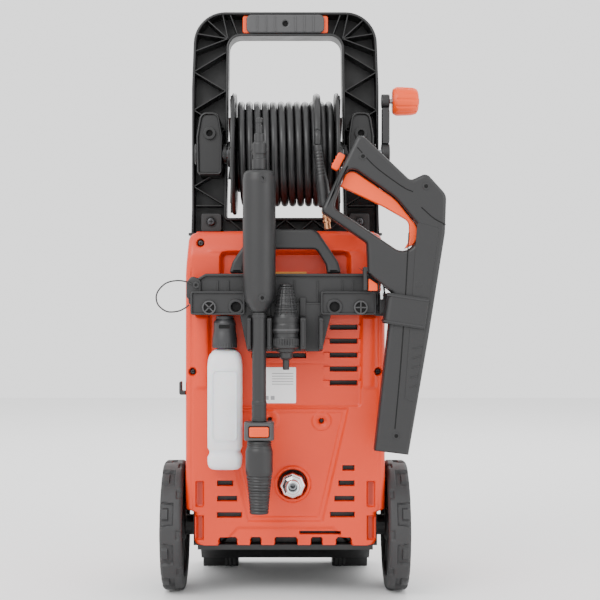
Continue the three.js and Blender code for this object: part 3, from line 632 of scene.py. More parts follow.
COVER_HALF, WAIST_HALF, WAIST_Z = 150.0, 137.0, 130.0
COVER_BOTTOM, COVER_TOP = 80.0, 550.5
UPPER_VENTS = [(67, 108, z - 3.5, z + 3.5) for z in (323.5, 344.3, 365.2, 386.1, 407)]
LEFT_VENTS = [(-102, x, z - 3.75, z + 3.75) for x, z in ((-79.4, 173), (-72.8, 150), (-65.9, 125.5))]
RIGHT_VENTS = [(x, 103.4, z - 3.75, z + 3.75) for x, z in ((86.6, 196), (80.7, 173), (74, 150), (67.5, 126))]
DARK_SLOTS = [*UPPER_VENTS, *LEFT_VENTS, *RIGHT_VENTS, (-50, 31, 361, 368), (22, 83, 96.3, 100.8)]
SIDE_SLOTS = [(s * 128.5 - 5.5, s * 128.5 + 5.5, z0, z1) for s in (-1, 1) for z0,
              z1 in ((138, 176), (88, 124))]
BOTTOM_NOTCHES = [(-99.5, -73), (-52, -37), (-15.5, 17.6), (39, 55), (77, 99)]
BOSSES = [(54.5, 266), (-23.5, 268)]
SCREWS = [(-127.5, 533.7), (127.5, 533.7), (-139, 340.5), (139, 340.5)]
INLET_X, INLET_Z = 11, 171.4


def smoothstep(low, high, value):
    t = np.clip((value - low) / (high - low), 0, 1)
    return t * t * (3 - 2 * t)


def box_distance(x, z, x0, x1, z0, z1, radius=0.0):
    """Signed distance to a rectangle with rounded corners: negative inside."""
    dx = np.abs(x - (x0 + x1) / 2) - (x1 - x0) / 2 + radius
    dz = np.abs(z - (z0 + z1) / 2) - (z1 - z0) / 2 + radius
    outside = np.hypot(np.maximum(dx, 0), np.maximum(dz, 0))
    return outside + np.minimum(np.maximum(dx, dz), 0) - radius


def pressed(distance, depth, soft):
    """A pocket of that depth where distance is negative, with a soft wall."""
    return depth * smoothstep(soft / 2, -soft / 2, distance)


def cover_half_width(z):
    width = WAIST_HALF + (COVER_HALF - WAIST_HALF) * smoothstep(WAIST_Z - 2, WAIST_Z + 5, z)
    width = width - 4 * smoothstep(480, 546, z)
    top = np.clip(z - (COVER_TOP - 14), 0, 14)
    bottom = np.clip(COVER_BOTTOM + 8 - z, 0, 8)
    return width - (14 - np.sqrt(196 - top ** 2)) - (8 - np.sqrt(64 - bottom ** 2))


def cover_relief(x, z):
    """How far the rear cover's face lies in from its plane, and how much painted shade it takes there."""
    side = np.minimum(cover_half_width(z) - np.abs(x), COVER_TOP + 2 - z)
    roll = 9.0
    near = np.clip(roll - side, 0, roll)
    depth = roll - np.sqrt(roll ** 2 - near ** 2 + 1e-9)
    depth += 15 * smoothstep(508, 556, z) ** 1.4
    depth += pressed(box_distance(x, z, -96, 96, 474, 519, 8), 13, 7)
    depth -= 1.2 * np.exp(-((z - 521.5) / 1.6) ** 2) * smoothstep(118, 108, np.abs(x))
    # The bowed panel behind the accessories, framed by two upright columns.
    depth += pressed(box_distance(x, z, -113, 113, 289, 470, 5), 3.0, 4)
    column = np.clip(1 - ((np.abs(x) - 125.5) / 11.5) ** 2, 0, 1)
    depth -= 4.5 * np.sqrt(column) * smoothstep(427, 420, z) * smoothstep(312, 320, z)
    depth += pressed(np.abs(np.abs(x) - 140.5) - 1.0, 1.0, 1.6) * smoothstep(500, 490, z)
    # Louvres: each slat leans in towards the slot below it.
    slat = np.mod(z - 327.0, 20.85) / 20.85
    inside = smoothstep(1.5, -1.5, box_distance(x, z, 58, 112, 316, 418, 2))
    depth += inside * (3.4 * (1 - slat) - 1.6)
    depth += pressed(np.abs(z - 353.5) - 0.7, 0.9, 1.4) * smoothstep(58, 54, np.abs(x - 4))
    # The pocket of the lower panel, narrower towards the bottom.
    edge = (np.abs(x) - (55.8 + 0.2286 * (z - 116))) / 1.026
    outer = np.maximum(np.maximum(edge, 116 - z), z - 285)
    inner = np.maximum(np.maximum(edge + 7, 122 - z), z - 279)
    depth += pressed(outer, 4.0, 5) + pressed(inner, 2.2, 3)
    low = np.maximum(np.maximum(np.abs(x) - (72 + 0.9 * (106 - z)), z - 106), 70 - z)
    depth += pressed(low, 3.0, 6)
    # Painted shade from here on: a mask that turns the colour near black in the boss holes, the inlet bore,
    # the slots, the screw pockets and the bottom notches.
    boss_painted_shade = []
    for bx, bz in BOSSES:
        away = np.hypot(x - bx, z - bz)
        depth -= 2.2 * smoothstep(15.2, 13.4, away) * smoothstep(5.5, 9, away)
        depth += pressed(away - 3.7, 8, 1.2)
        boss_painted_shade.append(smoothstep(4.0, 2.8, away))
    away = np.hypot(x - INLET_X, z - INLET_Z)
    depth -= 5.2 * smoothstep(28.5, 26.0, away) * smoothstep(19, 23.5, away)
    depth += pressed(away - 21.3, 24, 2.0)
    painted_shade = np.maximum.reduce([smoothstep(0.3, -2.5, away - 20), *boss_painted_shade])
    # The side slots take half as much painted shade.
    for x0, x1, z0, z1 in SIDE_SLOTS:
        depth += pressed(box_distance(x, z, x0, x1, z0, z1, 2), 7, 1.6)
        painted_shade = np.maximum(painted_shade, 0.5 * smoothstep(0, -3.5, box_distance(x, z, x0, x1, z0, z1, 2)))
    for x0, x1, z0, z1 in DARK_SLOTS:
        gap = box_distance(x, z, x0, x1, z0, z1, 0.8)
        depth += pressed(gap, 12, 1.1)
        painted_shade = np.maximum(painted_shade, smoothstep(0.1, -0.5, gap))
    for sx, sz in SCREWS:
        away = np.hypot(x - sx, z - sz)
        depth += pressed(away - 5.6, 7, 1.2)
        painted_shade = np.maximum(painted_shade, smoothstep(5.6, 4.8, away))
    for x0, x1 in BOTTOM_NOTCHES:
        notch = box_distance(x, z, x0, x1, 60, 91, 4)
        depth += pressed(notch, 26, 1.4)
        painted_shade = np.maximum(painted_shade, smoothstep(0.2, -1, notch))
    depth += 0.16 * np.sin(x * 0.021 + 0.7) * np.cos(z * 0.017)
    return np.minimum(depth, 28.5), painted_shade


def grid_lines(low, high, step, edges):
    """Evenly spaced places, with a close pair on each side of every edge."""
    lines = list(np.arange(low, high + step / 2, step))
    for edge in edges:
        lines = [v for v in lines if abs(v - edge) > 0.95]
        lines += [edge - 0.55, edge, edge + 0.55]
    lines = sorted(v for v in set(lines) if low <= v <= high)
    return np.array([low, *lines[1:-1], high])


def make_rear_cover():
    z_edges = sorted({z for *_, z0, z1 in DARK_SLOTS for z in (z0, z1)})
    rows = grid_lines(COVER_BOTTOM, COVER_TOP, 1.5, z_edges)
    columns = grid_lines(-COVER_HALF, COVER_HALF, 1.5, (-102, 67, 108, 103.4)) / COVER_HALF
    s, z = np.meshgrid(columns, rows)
    x = s * cover_half_width(z)
    lift = 2.0 * (1 - s ** 2) * smoothstep(530, COVER_TOP, z)
    depth, painted_shade = cover_relief(x, z)
    high, wide = x.shape
    points = list(zip(x.ravel(), (REAR_Y + depth).ravel(), (z + lift).ravel()))
    grid = np.arange(high * wide).reshape(high, wide)
    corners = (grid[:-1, :-1], grid[:-1, 1:], grid[1:, 1:], grid[1:, :-1])
    faces = [tuple(int(v) for v in f) for f in np.stack(corners, -1).reshape(-1, 4)]
    rim = [*grid[0], *grid[1:, -1], *grid[-1, -2::-1], *grid[-2:0:-1, 0]]
    first = len(points)
    points += [(points[i][0], SEAM_Y, points[i][2]) for i in rim]
    count = len(rim)
    for k in range(count):
        n = (k + 1) % count
        faces.append((int(rim[n]), int(rim[k]), first + k, first + n))
    faces.append(tuple(first + k for k in range(count)))
    # Painted shade for the slots and holes goes to the material as the 'shade' attribute, none on the rim.
    shade = np.concatenate([painted_shade.ravel(), np.zeros(count)])
    piece("rear_cover_shell", [(points, faces)], ORANGE,
          replaces=["rear_cover"], sharp=50, flat=False, shade=shade)
    for i, (sx, sz) in enumerate(SCREWS):
        make_screw(f"cover_screw_{i + 1}", sx, REAR_Y + (6.2 if sz < 500 else 9.5), sz, 4.3)


def make_screw(name, x, y, z, radius, replaces=()):
    """A pan-head screw with a cross recess, seen from behind."""
    head = lathe(softened([(0, 2.4), (radius, 2.4), (radius, 1.0), (radius * 0.7, 0), (0, 0)], 0.6),
                 (x, y, z), "y", 28)
    arms = [slab([rectangle(x - a, x + a, z - b, z + b, 0.2, 2)], y - 0.25, y + 0.6, 0.1)
            for a, b in ((radius * 0.5, 0.5), (0.5, radius * 0.5))]
    screw = piece(name, [head], SCREW, replaces=replaces)
    # The cross recess is drawn as thin near-black pieces of painted shadow.
    piece(name + "_recess", arms, PAINTED_SHADOW)
    return screw


def cover_side():
    return rounded([
        (SEAM_Y + GAP, WAIST_Z), (FRONT_Y, WAIST_Z, 8), (FRONT_Y, 345, 30), (112, 420, 40), (62, 505, 40),
        (24, 552, 12), (SEAM_Y + GAP, 552),
    ], 12)


def shouldered(point):
    """Draw a point of the front cover in at the top, to meet the rear cover's rounded shoulders."""
    narrow = float(cover_half_width(min(point[2], COVER_TOP - 0.5))) / COVER_HALF if point[2] > 480 else 1.0
    return point[0] * narrow, point[1], point[2]


def make_front_cover():
    outline = cover_side()
    band = slab([outline, grown(outline, -3.5)], -146, 146, 0.5, "yz")
    sides = [slab([outline], *span, 2.4, "yz", 4) for span in ((-150, -143), (143, 150))]
    shell = [([shouldered(p) for p in points], faces) for points, faces in (band, *sides)]
    piece("front_cover_shell", shell, ORANGE, replaces=["front_cover"])
    fins = []
    slots = []
    for side in (-1, 1):
        for z in range(140, 260, 20):
            outline = rectangle(-88, -32, z - 4, z + 8, 3)
            fins.append(slab([outline], side * 150.8 - 1.2, side * 150.8 + 1.2, 0.8, "yz"))
        for z in range(140, 240, 20):
            gap = rectangle(-84, -36, z + 8.5, z + 15.5, 2)
            slots.append(slab([gap], side * 150 - 0.6, side * 150 + 0.6, 0.2, "yz"))
    piece("side_louvre_fins", fins, ORANGE)
    # The gaps between the fins are near-black pieces of painted shadow.
    piece("side_louvre_slots", slots, PAINTED_SHADOW)
    vents = []
    slope = Vector((0, 62 - 112, 505 - 420)).normalized()
    outwards = Vector((0, slope.z, -slope.y))
    for k in range(6):
        middle = Vector((0, 112, 420)) + slope * (20 + 11 * k)
        bar = slab([rectangle(-62 + 3 * k, 62 - 3 * k, -2.2, 2.2, 2)], -0.5, 0.5, 0.2, "xy")
        vents.append(aimed(bar, middle, middle + outwards))
    # The vent slots are near-black pieces of painted shadow.
    piece("front_vent_slots", vents, PAINTED_SHADOW)
    collars = [rectangle(x - 33.5, x + 33.5, -44, 9, 6) for x in (-118.5, 118.5)]
    piece("handle_collars", [slab([c], 549, 553.4, 1, "xy") for c in collars], JET)


def make_front_controls():
    panel = rounded([(-70, 205, 14), (70, 205, 14), (84, 330, 14), (-84, 330, 14)], 8)
    ring = slab([panel, grown(panel, -4)], 145.3, 151, 0.8)
    piece("front_panel_plate", [slab([panel], 145.3, 149.6, 1), ring], BLACK,
          replaces=["front_panel"])
    dial = lathe(softened([(0, 164), (20, 164), (24, 160), (25.5, 150.6), (0, 150.6)], 2), (0, 0, 275), "y",
                 96,
                 lambda r, h, a: r - (0.6 if h < 162 and math.cos(a * 24) > 0 else 0))
    bar = slab([rounded([(-6, 253, 4), (6, 253, 4), (4, 298, 3), (-4, 298, 3)])], 158, 172.3, 2.0)
    piece("switch_dial", [dial, bar], BRIGHT, "switch_knob", ["switch_knob"])
    piece("switch_pointer", [slab([rectangle(-0.8, 0.8, 284, 296, 0.4)], 171.9, 172.6, 0.15)],
          LABEL, "switch_knob")
    ticks = [(math.cos(math.radians(a)), math.sin(math.radians(a))) for a in (90, 0)]
    piece("switch_marks",
          [slab([circle(33 * c, 275 + 33 * s, 2.2, 20)], 149.2, 150.2, 0.2) for c, s in ticks],
          LABEL)


def make_base():
    carried("base_tray", JET, 1.2)
    for side, name in ((-1, "left"), (1, "right")):
        x0, x1 = sorted((side * 79, side * 138))
        body = slab([rounded([(116, 0, 3), (162, 0, 6), (162, 17, 1), (112, 17, 1)])], x0, x1, 1.2, "yz")
        treads = [slab([rectangle(x - 1.6, x + 1.6, 0.8, 14, 0.8)], 112, 117, 0.5)
                  for x in (side * 86, side * 92.5, side * 99)]
        piece(f"front_foot_{name}", [body, *treads], RUBBER, replaces=[f"foot_{name}"])


def make_labels():
    plate_y = REAR_Y + 2.6
    piece("rating_label", [slab([rectangle(-45, 16, 293, 347, 1.5)], plate_y, plate_y + 1.6, 0.2)], LABEL)
    rows = [slab([rectangle(-20, 12, z, z + 1.1, 0.3)], plate_y - 0.12, plate_y + 0.4, 0.05)
            for z in (337, 333, 329, 325, 321)]
    squares = [slab([rectangle(-40 + 9 * k, -34 + 9 * k, 298, 304, 0.5)], plate_y - 0.12, plate_y + 0.4, 0.05)
               for k in range(3)]
    piece("rating_label_marks", rows + squares, PRINT)
    piece("amber_strip", [slab([rectangle(-19, 32, 484, 490.5, 1)], REAR_Y + 8.4, REAR_Y + 12.6, 0.3)],
          AMBER)


# ---- Wheels ----

def make_wheel(side, name):
    """A hard plastic wheel: chunky tread pockets round its outer half, a deep dish and a ribbed hub."""
    inner, outer, pockets = 154.0, 187.0, 10
    spin = frame["nodes"][f"wheel_{name}"]["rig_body"]

    def tread(radius, place, angle):
        if radius < 92:
            return radius
        across = abs(place) - inner
        t = (angle * pockets / (2 * math.pi)) % 1.0
        span = 0.31 - 0.05 * (1 - min(max((across - 11) / 22, 0), 1))
        pocket = min(1, max(0, (span - abs(t - 0.5)) * 40)) * min(1, max(0, (across - 12) * 1.2))
        block = min(1, max(0, (0.15 - abs(t - 0.5)) * 40)) * min(1, max(0, (across - 20) * 1.2))
        second = min(1, max(0, (0.12 - abs(((t + 0.5) % 1) - 0.5)) * 40)) * min(1, max(0, (9 - across) * 1.2))
        return radius - 4.2 * (pocket - 0.8 * block) - 2.4 * second

    def rim_profile():
        outline = [(78, inner + 1.5), (82, inner), (96, inner), (99.5, inner + 3.5), (99.5, outer - 3.5),
                   (96, outer), (82, outer), (78, outer - 1.5), (78, inner + 1.5)]
        return refine(softened(outline, 2), 1.1)

    rim = lathe([(r, side * x) for r, x in rim_profile()], (0, AXLE_Y, AXLE_Z), "x", 360, tread)
    dish = softened([(22, inner + 0.5), (24, inner + 1.5), (27, 166), (50, 168.5), (77, 164), (79, 158),
                     (81, 158),
                     (81, 175), (77, 176), (50, 172), (27, 174), (24, outer - 2), (22, outer - 1)], 1.5)
    disc = lathe([(r, side * x) for r, x in [*dish, dish[0]]], (0, AXLE_Y, AXLE_Z), "x", 96)
    hub = lathe([(r, side * x) for r, x in softened([(6.5, inner + 0.3), (23, inner + 0.3), (23, outer - 1),
                                                    (6.5, outer - 1), (6.5, inner + 0.3)], 1)],
                (0, AXLE_Y, AXLE_Z), "x", 64)
    spokes = []
    for k in range(10):
        wall = slab([rectangle(24, 79, -1.6, 1.6, 0.5)], 157.5, 183.5, 0.6, "yz")
        turn = Matrix.Rotation(2 * math.pi * (k + 0.5) / 10, 3, "X")
        moved = [turn @ p for p in wall[0]]
        spokes.append(([Vector((side * p.x, p.y + AXLE_Y, p.z + AXLE_Z)) for p in moved], wall[1]))
    piece(f"wheel_{name}_moulding", [rim, disc, hub, *spokes], WHEEL, spin,
          [f"wheel_{name}"],
          sharp=32, flat=False)
    cap = softened([(0, 191), (18, 191), (21.5, 188.6), (21.5, 187.3), (0, 187.3)], 0.8)
    ring = lathe([(r, side * x) for r, x in cap], (0, AXLE_Y, AXLE_Z), "x", 48)
    piece(f"hub_cap_{name}_moulding", [ring], BLACK, spin, [f"hub_cap_{name}"])


# ---- Handle ----

OPENING = mirrored([(-92, 577, 3), (-88, 862, 19)])


def handle_outline():
    """The outside, with a step down to the crossbar between the two feet."""
    left = [(-92, 540), (-148, 540), (-146.5, 590), (-146.5, 780), (-142, 899.6, 50)]
    right = [(-a, *rest) for a, *rest in reversed(left)]
    return rounded([*left, *right, (92, 553), (-92, 553)], 12)


def make_handle():
    outline = handle_outline()
    opening = rounded(OPENING, 10)
    walls = slab([outline, grown(outline, -4.2)], -40, 4, 1.4)
    lining = slab([grown(opening, 4.2), opening], -40, 4, 1.4)
    web = slab([grown(outline, -1.5), grown(opening, 1.5)], 0.8, 5, 1.2)
    beads = [slab([grown(outline, -8), grown(outline, -10.5)], 4.2, 5.9, 0.7),
             slab([grown(opening, 10.5), grown(opening, 8)], 4.2, 5.9, 0.7)]
    piece("handle_front_beads", beads, JET)
    piece("handle_shell", [walls, lining, web], JET, replaces=["handle_frame"])
    ribs = []
    for side in (-1, 1):
        outer, inner = side * 143.5, side * 93.5
        nodes = [(outer if k % 2 else inner, 596 + 30 * k) for k in range(9)]
        ribs += [rib(a, b, -38.5, 2, 1.7) for a, b in zip(nodes, nodes[1:])]
        ribs += [rib((side * 100, 596), (side * 140, 596), -38.5, 2, 1.8)]
        corner = (side * 90, 858)
        fan = [(side * 142.5, 838), (side * 139, 866), (side * 122, 887), (side * 98, 895)]
        ribs += [rib(corner, tip, -38.5, 2, 1.7) for tip in fan]
        ribs.append(rib((side * 74, 862), (side * 86, 895), -38.5, 2, 1.7))
    places = [-88 + 22 * k for k in range(9)]
    ribs += [rib((x, 556 if k % 2 else 574), (places[k + 1], 574 if k % 2 else 556), -38.5, 2, 1.7)
             for k, x in enumerate(places[:-1])]
    piece("handle_ribs", ribs, JET)
    make_handle_feet()
    make_grip()


def make_handle_feet():
    blocks = []
    for side in (-1, 1):
        x = side * 116
        blocks.append(slab([rectangle(x - 16, x + 16, 555, 584, 4), circle(x, 570.7, 8, 32)], -39.4, -2, 1.2))
        blocks.append(lathe(softened([(4, -38), (8.6, -38), (8.6, -40.2), (7.4, -40.2), (7.4, -37),
                                      (4, -37)], 0.3),
                            (x, 0, 570.7), "y", 40))
    piece("handle_feet_blocks", blocks, BLACK)
    for side, name in ((-1, "left"), (1, "right")):
        make_screw(f"handle_bolt_{name}", side * 116, -43.3, 570.7, 6.3, replaces=[f"handle_screw_{name}"])


def make_grip():
    outline = rectangle(-61, 61, 866.3, 895.3, 8)
    cover = slab([outline, circle(0, 881, 4.2, 28)], -43, -36.2, 2.6, steps=4)
    piece("grip_pad", [cover], GREY, replaces=["grip_rear"])
    # The hole is a near-black disc of painted shadow.
    piece("grip_pad_hole", [slab([circle(0, 881, 4.4, 28)], -38.5, -36.4, 0.3)], PAINTED_SHADOW)
    core = slab([rectangle(-67, 67, 866.8, 894.8, 4)], -36, 0.7, 1.5)
    piece("grip_filler", [core], BRIGHT, replaces=["grip_core"])
    bars = [slab([rectangle(x - 1.1, x + 1.1, 868, 894, 0.8)], -44.2, -42, 0.5) for x in (-44, -30, -16, 16,
                                                                                          30, 44)]
    piece("grip_pad_ridges", bars, GREY)


# ---- Hose reel ----

def bracket_parts(side):
    """A moulded block that holds one end of the reel's axle."""
    x = side * 116.5
    outline = [(x - 19, 641, 6), (x + 19, 641, 6), (x + 20, 700, 10), (x + 14, 737, 12), (x - 14, 737, 12),
               (x - 20, 700, 10)]
    bore = lathe([(0, side * 90), (8.5, side * 90), (8.5, side * 142), (0, side * 142)],
                 (0, REEL_Y, REEL_Z), "x", 48)
    block = opened([slab([rounded(outline, 8)], -76, 0, 4, steps=4)], [bore], "bracket")
    rim = slab([rounded(outline, 8), grown(rounded(outline, 8), -3.4)], -80, -74, 1.6, steps=3)
    boss = lathe(softened([(5, -79), (9.5, -79), (9.5, -81), (5, -81), (5, -79)], 0.5), (x, 0, 704.6), "y",
                 40)
    collar = lathe(softened([(8.6, side * 96), (15, side * 96), (15, side * 90.6), (8.6, side * 90.6),
                             (8.6, side * 96)], 0.8), (0, REEL_Y, REEL_Z), "x", 48)
    return block, rim, boss, collar


def make_brackets():
    for side, name in ((-1, "left"), (1, "right")):
        block, rim, boss, collar = bracket_parts(side)
        bore = lathe(softened([(8.4, side * 136), (16, side * 136), (16, side * 139), (14.6, side * 140),
                               (8.4, side * 140), (8.4, side * 136)], 0.6), (0, REEL_Y, REEL_Z), "x", 48)
        piece(f"reel_bracket_{name}_block", [block, rim, boss, collar, bore], JET,
              replaces=[f"reel_bracket_{name}"])
        x = side * 116.5
        # The hole is a near-black disc of painted shadow.
        piece(f"reel_bracket_{name}_hole", [slab([circle(x, 704.6, 4.8, 28)], -77.2, -75.6, 0.2)],
              PAINTED_SHADOW)


def make_reel():
    """The axle, drum and flanges, the right-hand crank and its knob."""
    centre = (0, REEL_Y, REEL_Z)
    shaft = softened([(0, -133), (6.8, -133), (8, -131.6), (8, 140), (7.2, 141), (7.2, 157), (0, 157.6)], 0.5)
    piece("reel_axle_shaft", [lathe(shaft, centre, "x", 48)], STEEL, "reel", ["reel_axle"])
    drum = softened([(9, -74.4), (57, -74.4), (58.8, -72), (58.8, 72), (57, 74.4), (9, 74.4), (9, -74.4)], 1)
    piece("reel_drum_barrel", [lathe(drum, centre, "x", 96)], JET, "reel", ["reel_drum"])
    for side, name in ((-1, "left"), (1, "right")):
        profile = softened([(9, side * 89), (19, side * 89), (21, side * 84), (60, side * 80.5),
                            (90, side * 82),
                            (94, side * 80.5), (94, side * 77), (92, side * 75.2), (9, side * 75.2),
                            (9, side * 89)], 1.4, 4)
        plate = lathe(profile, centre, "x", 128)
        webs = []
        for k in range(12):
            turn = Matrix.Rotation(2 * math.pi * k / 12, 3, "X")
            points, faces = slab([rectangle(20, 91, -1.1, 1.1, 0.4)], 78, 85 if k % 2 else 84, 0.5, "yz")
            moved = [turn @ p for p in points]
            webs.append(([Vector((side * p.x, p.y + REEL_Y, p.z + REEL_Z)) for p in moved], faces))
        piece(f"reel_flange_{name}_disc", [plate, *webs], JET, "reel",
              [f"reel_flange_{name}"])
    make_crank()


def make_crank():
    centre = (0, REEL_Y, REEL_Z)
    hub = lathe(softened([(7.6, 149), (16.4, 149), (17, 150.5), (17, 160), (15.5, 161.4), (7.6, 161.4),
                          (7.6, 149)], 0.6), centre, "x", 56)
    arm = slab([[(-73, 690), (-51, 690), (-53, 745), (-71, 745)]], 149.6, 160.8, 1.6, "yz")
    channel = slab([[(-68, 694), (-56, 694), (-57, 741), (-67, 741)]], 160, 161.5, 0.5, "yz")
    eye = lathe(softened([(4.4, 149), (10.6, 149), (11, 150.5), (11, 160), (10, 161.4), (4.4, 161.4),
                          (4.4, 149)], 0.5), (0, REEL_Y, 756), "x", 44)
    piece("crank_lever", [hub, arm, channel, eye], BLACK, "reel", ["crank_arm"])
    pin = softened([(0, 149), (4, 149), (4, 202), (3.4, 203), (0, 203)], 0.4)
    piece("crank_pin", [lathe(pin, (0, REEL_Y, 756), "x", 32)], STEEL, "reel")
    knob = softened([(4.5, 166), (19, 166), (22.4, 172), (21.5, 195), (19.5, 203), (14, 206), (5, 206.4),
                     (4.5, 166)], 2.4, 5)

    def fluted(radius, place, angle):
        if radius > 10 and 171 < place < 202:
            return radius - 1.2 * max(0, math.cos(angle * 12)) ** 2
        return radius

    piece("crank_handle", [lathe(refine(knob, 1.6), (0, REEL_Y, 756), "x", 160, fluted)],
          BRIGHT, "crank_knob", ["crank_knob"], sharp=28, flat=False)
    cap = lathe(softened([(0, 206.2), (5, 206.2), (5, 207.4), (0, 207.4)], 0.4), (0, REEL_Y, 756), "x", 28)
    piece("crank_handle_cap", [cap], BLACK, "crank_knob")


# ---- Accessory holder ----

HOLDER_BACK = REAR_Y - GAP


def make_holder():
    bar = rounded([(-143, 440, 6), (138, 440, 2), (138, 481, 3), (128, 487, 6), (-118, 487, 8),
                   (-128, 481, 5),
                   (-136, 480, 6), (-143, 470, 5)], 6)
    holes = [circle(x, 438, 7.4, 32) for x in (-72.5, 72.5)]
    plate = slab([bar], -159, HOLDER_BACK, 1.6)
    lip = slab([bar, grown(bar, -4.2)], -164, -156, 1.4)
    parts = [plate, lip]
    crosses = []
    boxes = [rectangle(-139.5, -59, 426, 461, 4), rectangle(52, 134, 426, 461, 4)]
    for box, hole, cross in zip(boxes, holes, (-112, 111)):
        parts.append(slab([box, hole], -168, HOLDER_BACK - 2, 1.6))
        parts.append(slab([box, grown(box, -3.2)], -172, -166, 1.2))
        collar = [circle(hole[0][0] - 7.4, 438, 11.5, 40), hole]
        parts.append(slab(collar, -171, -165, 0.9))
        hub = lathe(softened([(8, -166), (10.2, -166), (10.2, -174.4), (8, -174.4), (8, -166)], 0.5),
                    (cross, 0, 437), "y", 44)
        crosses.append(hub)
        turn = 45 if cross < 0 else 0
        for angle in (turn, turn + 90):
            reach = Vector((math.cos(math.radians(angle)), math.sin(math.radians(angle)))) * 9
            centre = Vector((cross, 437))
            crosses.append(rib(centre - reach, centre + reach, -173.8, -168, 2.0))
    piece("holder_bar", parts, BLACK, replaces=["accessory_holder"])
    piece("holder_crosses", crosses, GREY)
    # Near-black discs of painted shadow in the holder's holes.
    painted_shade = [slab([circle(x, 438, 7.2, 32)], -166.5, -165, 0.2) for x in (-72.5, 72.5)]
    painted_shade += [slab([circle(x, 437, 8.4, 32)], -172.3, -171, 0.2) for x in (-112, 111)]
    piece("holder_holes", painted_shade, PAINTED_SHADOW)
    make_holder_clips()


def make_holder_clips():
    apron = rounded([(-56, 372, 6), (54, 372, 6), (71, 441, 3), (-70, 441, 3)], 6)
    parts = [slab([apron], -164, -159, 1.5)]
    parts += [slab([rectangle(x0, x1, 374, 452, 1.5)], -166.5, -160, 1.2) for x0,
              x1 in ((-28, -21), (21, 30.5))]
    parts += [slab([rectangle(x0, x1, 372, 432, 1)], -162, HOLDER_BACK, 1.2) for x0,
              x1 in ((-55, -49), (47, 53))]
    for x0, x1 in ((-55.5, -49.2), (-27, -19.6), (21.6, 30), (49, 55)):
        side = rounded([(-192, 376, 3), (-163, 372.5), (-163, 425.5), (-192, 422, 3)], 5)
        parts.append(slab([side], x0, x1, 1.4, "yz"))
        middle = (x0 + x1) / 2
        parts.append(slab([rectangle(middle - 1.8, middle + 1.8, 380, 418, 1.5)], -194, -190, 0.9))
    parts += [rib((x, 443), (x, 477), -161.5, -157, 2.0) for x in (-100, -84, -48, -14, 14, 48, 84, 100)]
    piece("holder_apron", parts, BLACK)
    hump = rounded([(-146, 449, 5), (-124, 449, 5), (-124, 478, 7), (-138, 484, 7), (-146, 474, 5)], 6)
    boss = lathe(softened([(2, -163), (5, -163), (5, -171), (2, -171), (2, -163)], 0.6), (-131, 0, 470),
                 "y", 32)
    piece("holder_loop_hump", [slab([hump], -166, -150, 2.4), boss], BLACK)


def make_arch():
    half = [(-62, 487.6, 2), (-83, 487.6, 3), (-78, 505, 12), (-46, 552.7, 16)]
    inside = [(46, 523.5, 10), (60, 500, 10)]
    other = [(-a, *rest) for a, *rest in reversed(half)]
    outline = rounded([*half, *other, *reversed(inside), *((-a, *rest) for a, *rest in inside)], 8)
    piece("carry_arch_shell", [slab([outline], -161, -139, 4.5, steps=5)], BLACK,
          replaces=["carry_arch"])


def make_ring_bracket():
    """The loop that holds the gun's barrel: a leaning ring, open towards the right."""
    hook = rounded([(204.2, -213, 1.2), (144.7, -213, 8), (144.7, -167, 8), (204.2, -167, 1.2),
                    (204.2, -171, 1.2), (148.7, -171, 4), (148.7, -209.2, 4), (204.2, -209.2, 1.2)], 8)
    ring = leaning(slab([hook], 432 - 22.5, 432 + 22.5, 1.2, "xy", 3), 8.5, 175.7, 432)
    lips = [(204.2, -213.8), (144, -213.8), (144, -166.4), (204.2, -166.4), (204.2, -170), (148, -170),
            (148, -210.2), (204.2, -210.2)]
    bands = [leaning(slab([lips], z - 1.6, z + 1.6, 0.7, "xy"), 8.5, 175.7, 432) for z in (413, 451)]
    foot = slab([rectangle(138.4, 160, 428, 458, 3)], -168.5, -134, 1.4)
    wedge = slab([rounded([(133, 424, 3), (149, 424, 3), (149, 462, 3), (133, 462, 3)])], -150, HOLDER_BACK,
                 1.6)
    piece("gun_ring_loop", [ring, *bands, foot, wedge], BLACK, replaces=["gun_ring"])
    for i, z in enumerate((432, 455)):
        make_screw(f"ring_screw_{i + 1}", 141, -151.2, z, 3.2)


def make_cord_hook():
    hook = rounded([(-150.3, 305), (-160, 305, 3), (-160, 325, 1.8), (-156, 325, 1.8), (-156, 311, 1.5),
                    (-150.3, 311)], 5)
    piece("cord_hook_moulding", [slab([hook], -122, -104, 1.2)], BLACK,
          replaces=["cord_hook"])


# ---- Detergent bottle ----

def rounded_section(x0, x1, y0, y1, z, radius, bulge=0.0):
    ring = []
    for a, b in rectangle(x0, x1, y0, y1, radius, 8):
        t = (a - (x0 + x1) / 2) / ((x1 - x0) / 2)
        ring.append((a, b - bulge * (1 - t * t) * (1 if b < (y0 + y1) / 2 else 0), z))
    return ring


def make_bottle():
    profile = [
        (197, 9, 8), (198, 5, 9), (201, 2.2, 9), (205, 0.6, 9), (211, 0, 9), (216, 0.2, 9), (218.5, 1.4, 9),
        (221, 2.8, 9), (225, 2.8, 9), (227.5, 1.4, 9), (230, 0.2, 9), (250, 0, 9), (290, 0, 9), (330, 0, 9),
        (350, 0, 9), (360, 0.8, 10), (367, 3, 11), (372, 7, 11), (375, 12, 9), (376.4, 17, 6),
    ]
    rings = []
    for z, inset, radius in profile:
        push = 1.2 * math.sin(math.pi * min(max((z - 232) / 120, 0), 1))
        rings.append(rounded_section(-115 + inset, -64 - inset, -170 + inset, -131 - inset * 0.3, z,
                                     min(radius, 17 - inset * 0.3), push))
    panel = slab([rectangle(-108, -71, 240, 345, 7), rectangle(-106.4, -72.6, 241.6, 343.4, 6)], -171.9,
                 -170.4, 0.5)
    marks = [slab([rectangle(-110, -110 + w, z, z + 0.9, 0.3)], -171, -169.8, 0.2)
             for z, w in ((250, 6), (265, 4), (280, 6), (295, 4), (310, 6), (325, 4))]
    piece("bottle_body", [loft(rings), panel, *marks], BOTTLE, "bottle", ["bottle"],
          sharp=60, flat=False)
    make_bottle_cap()


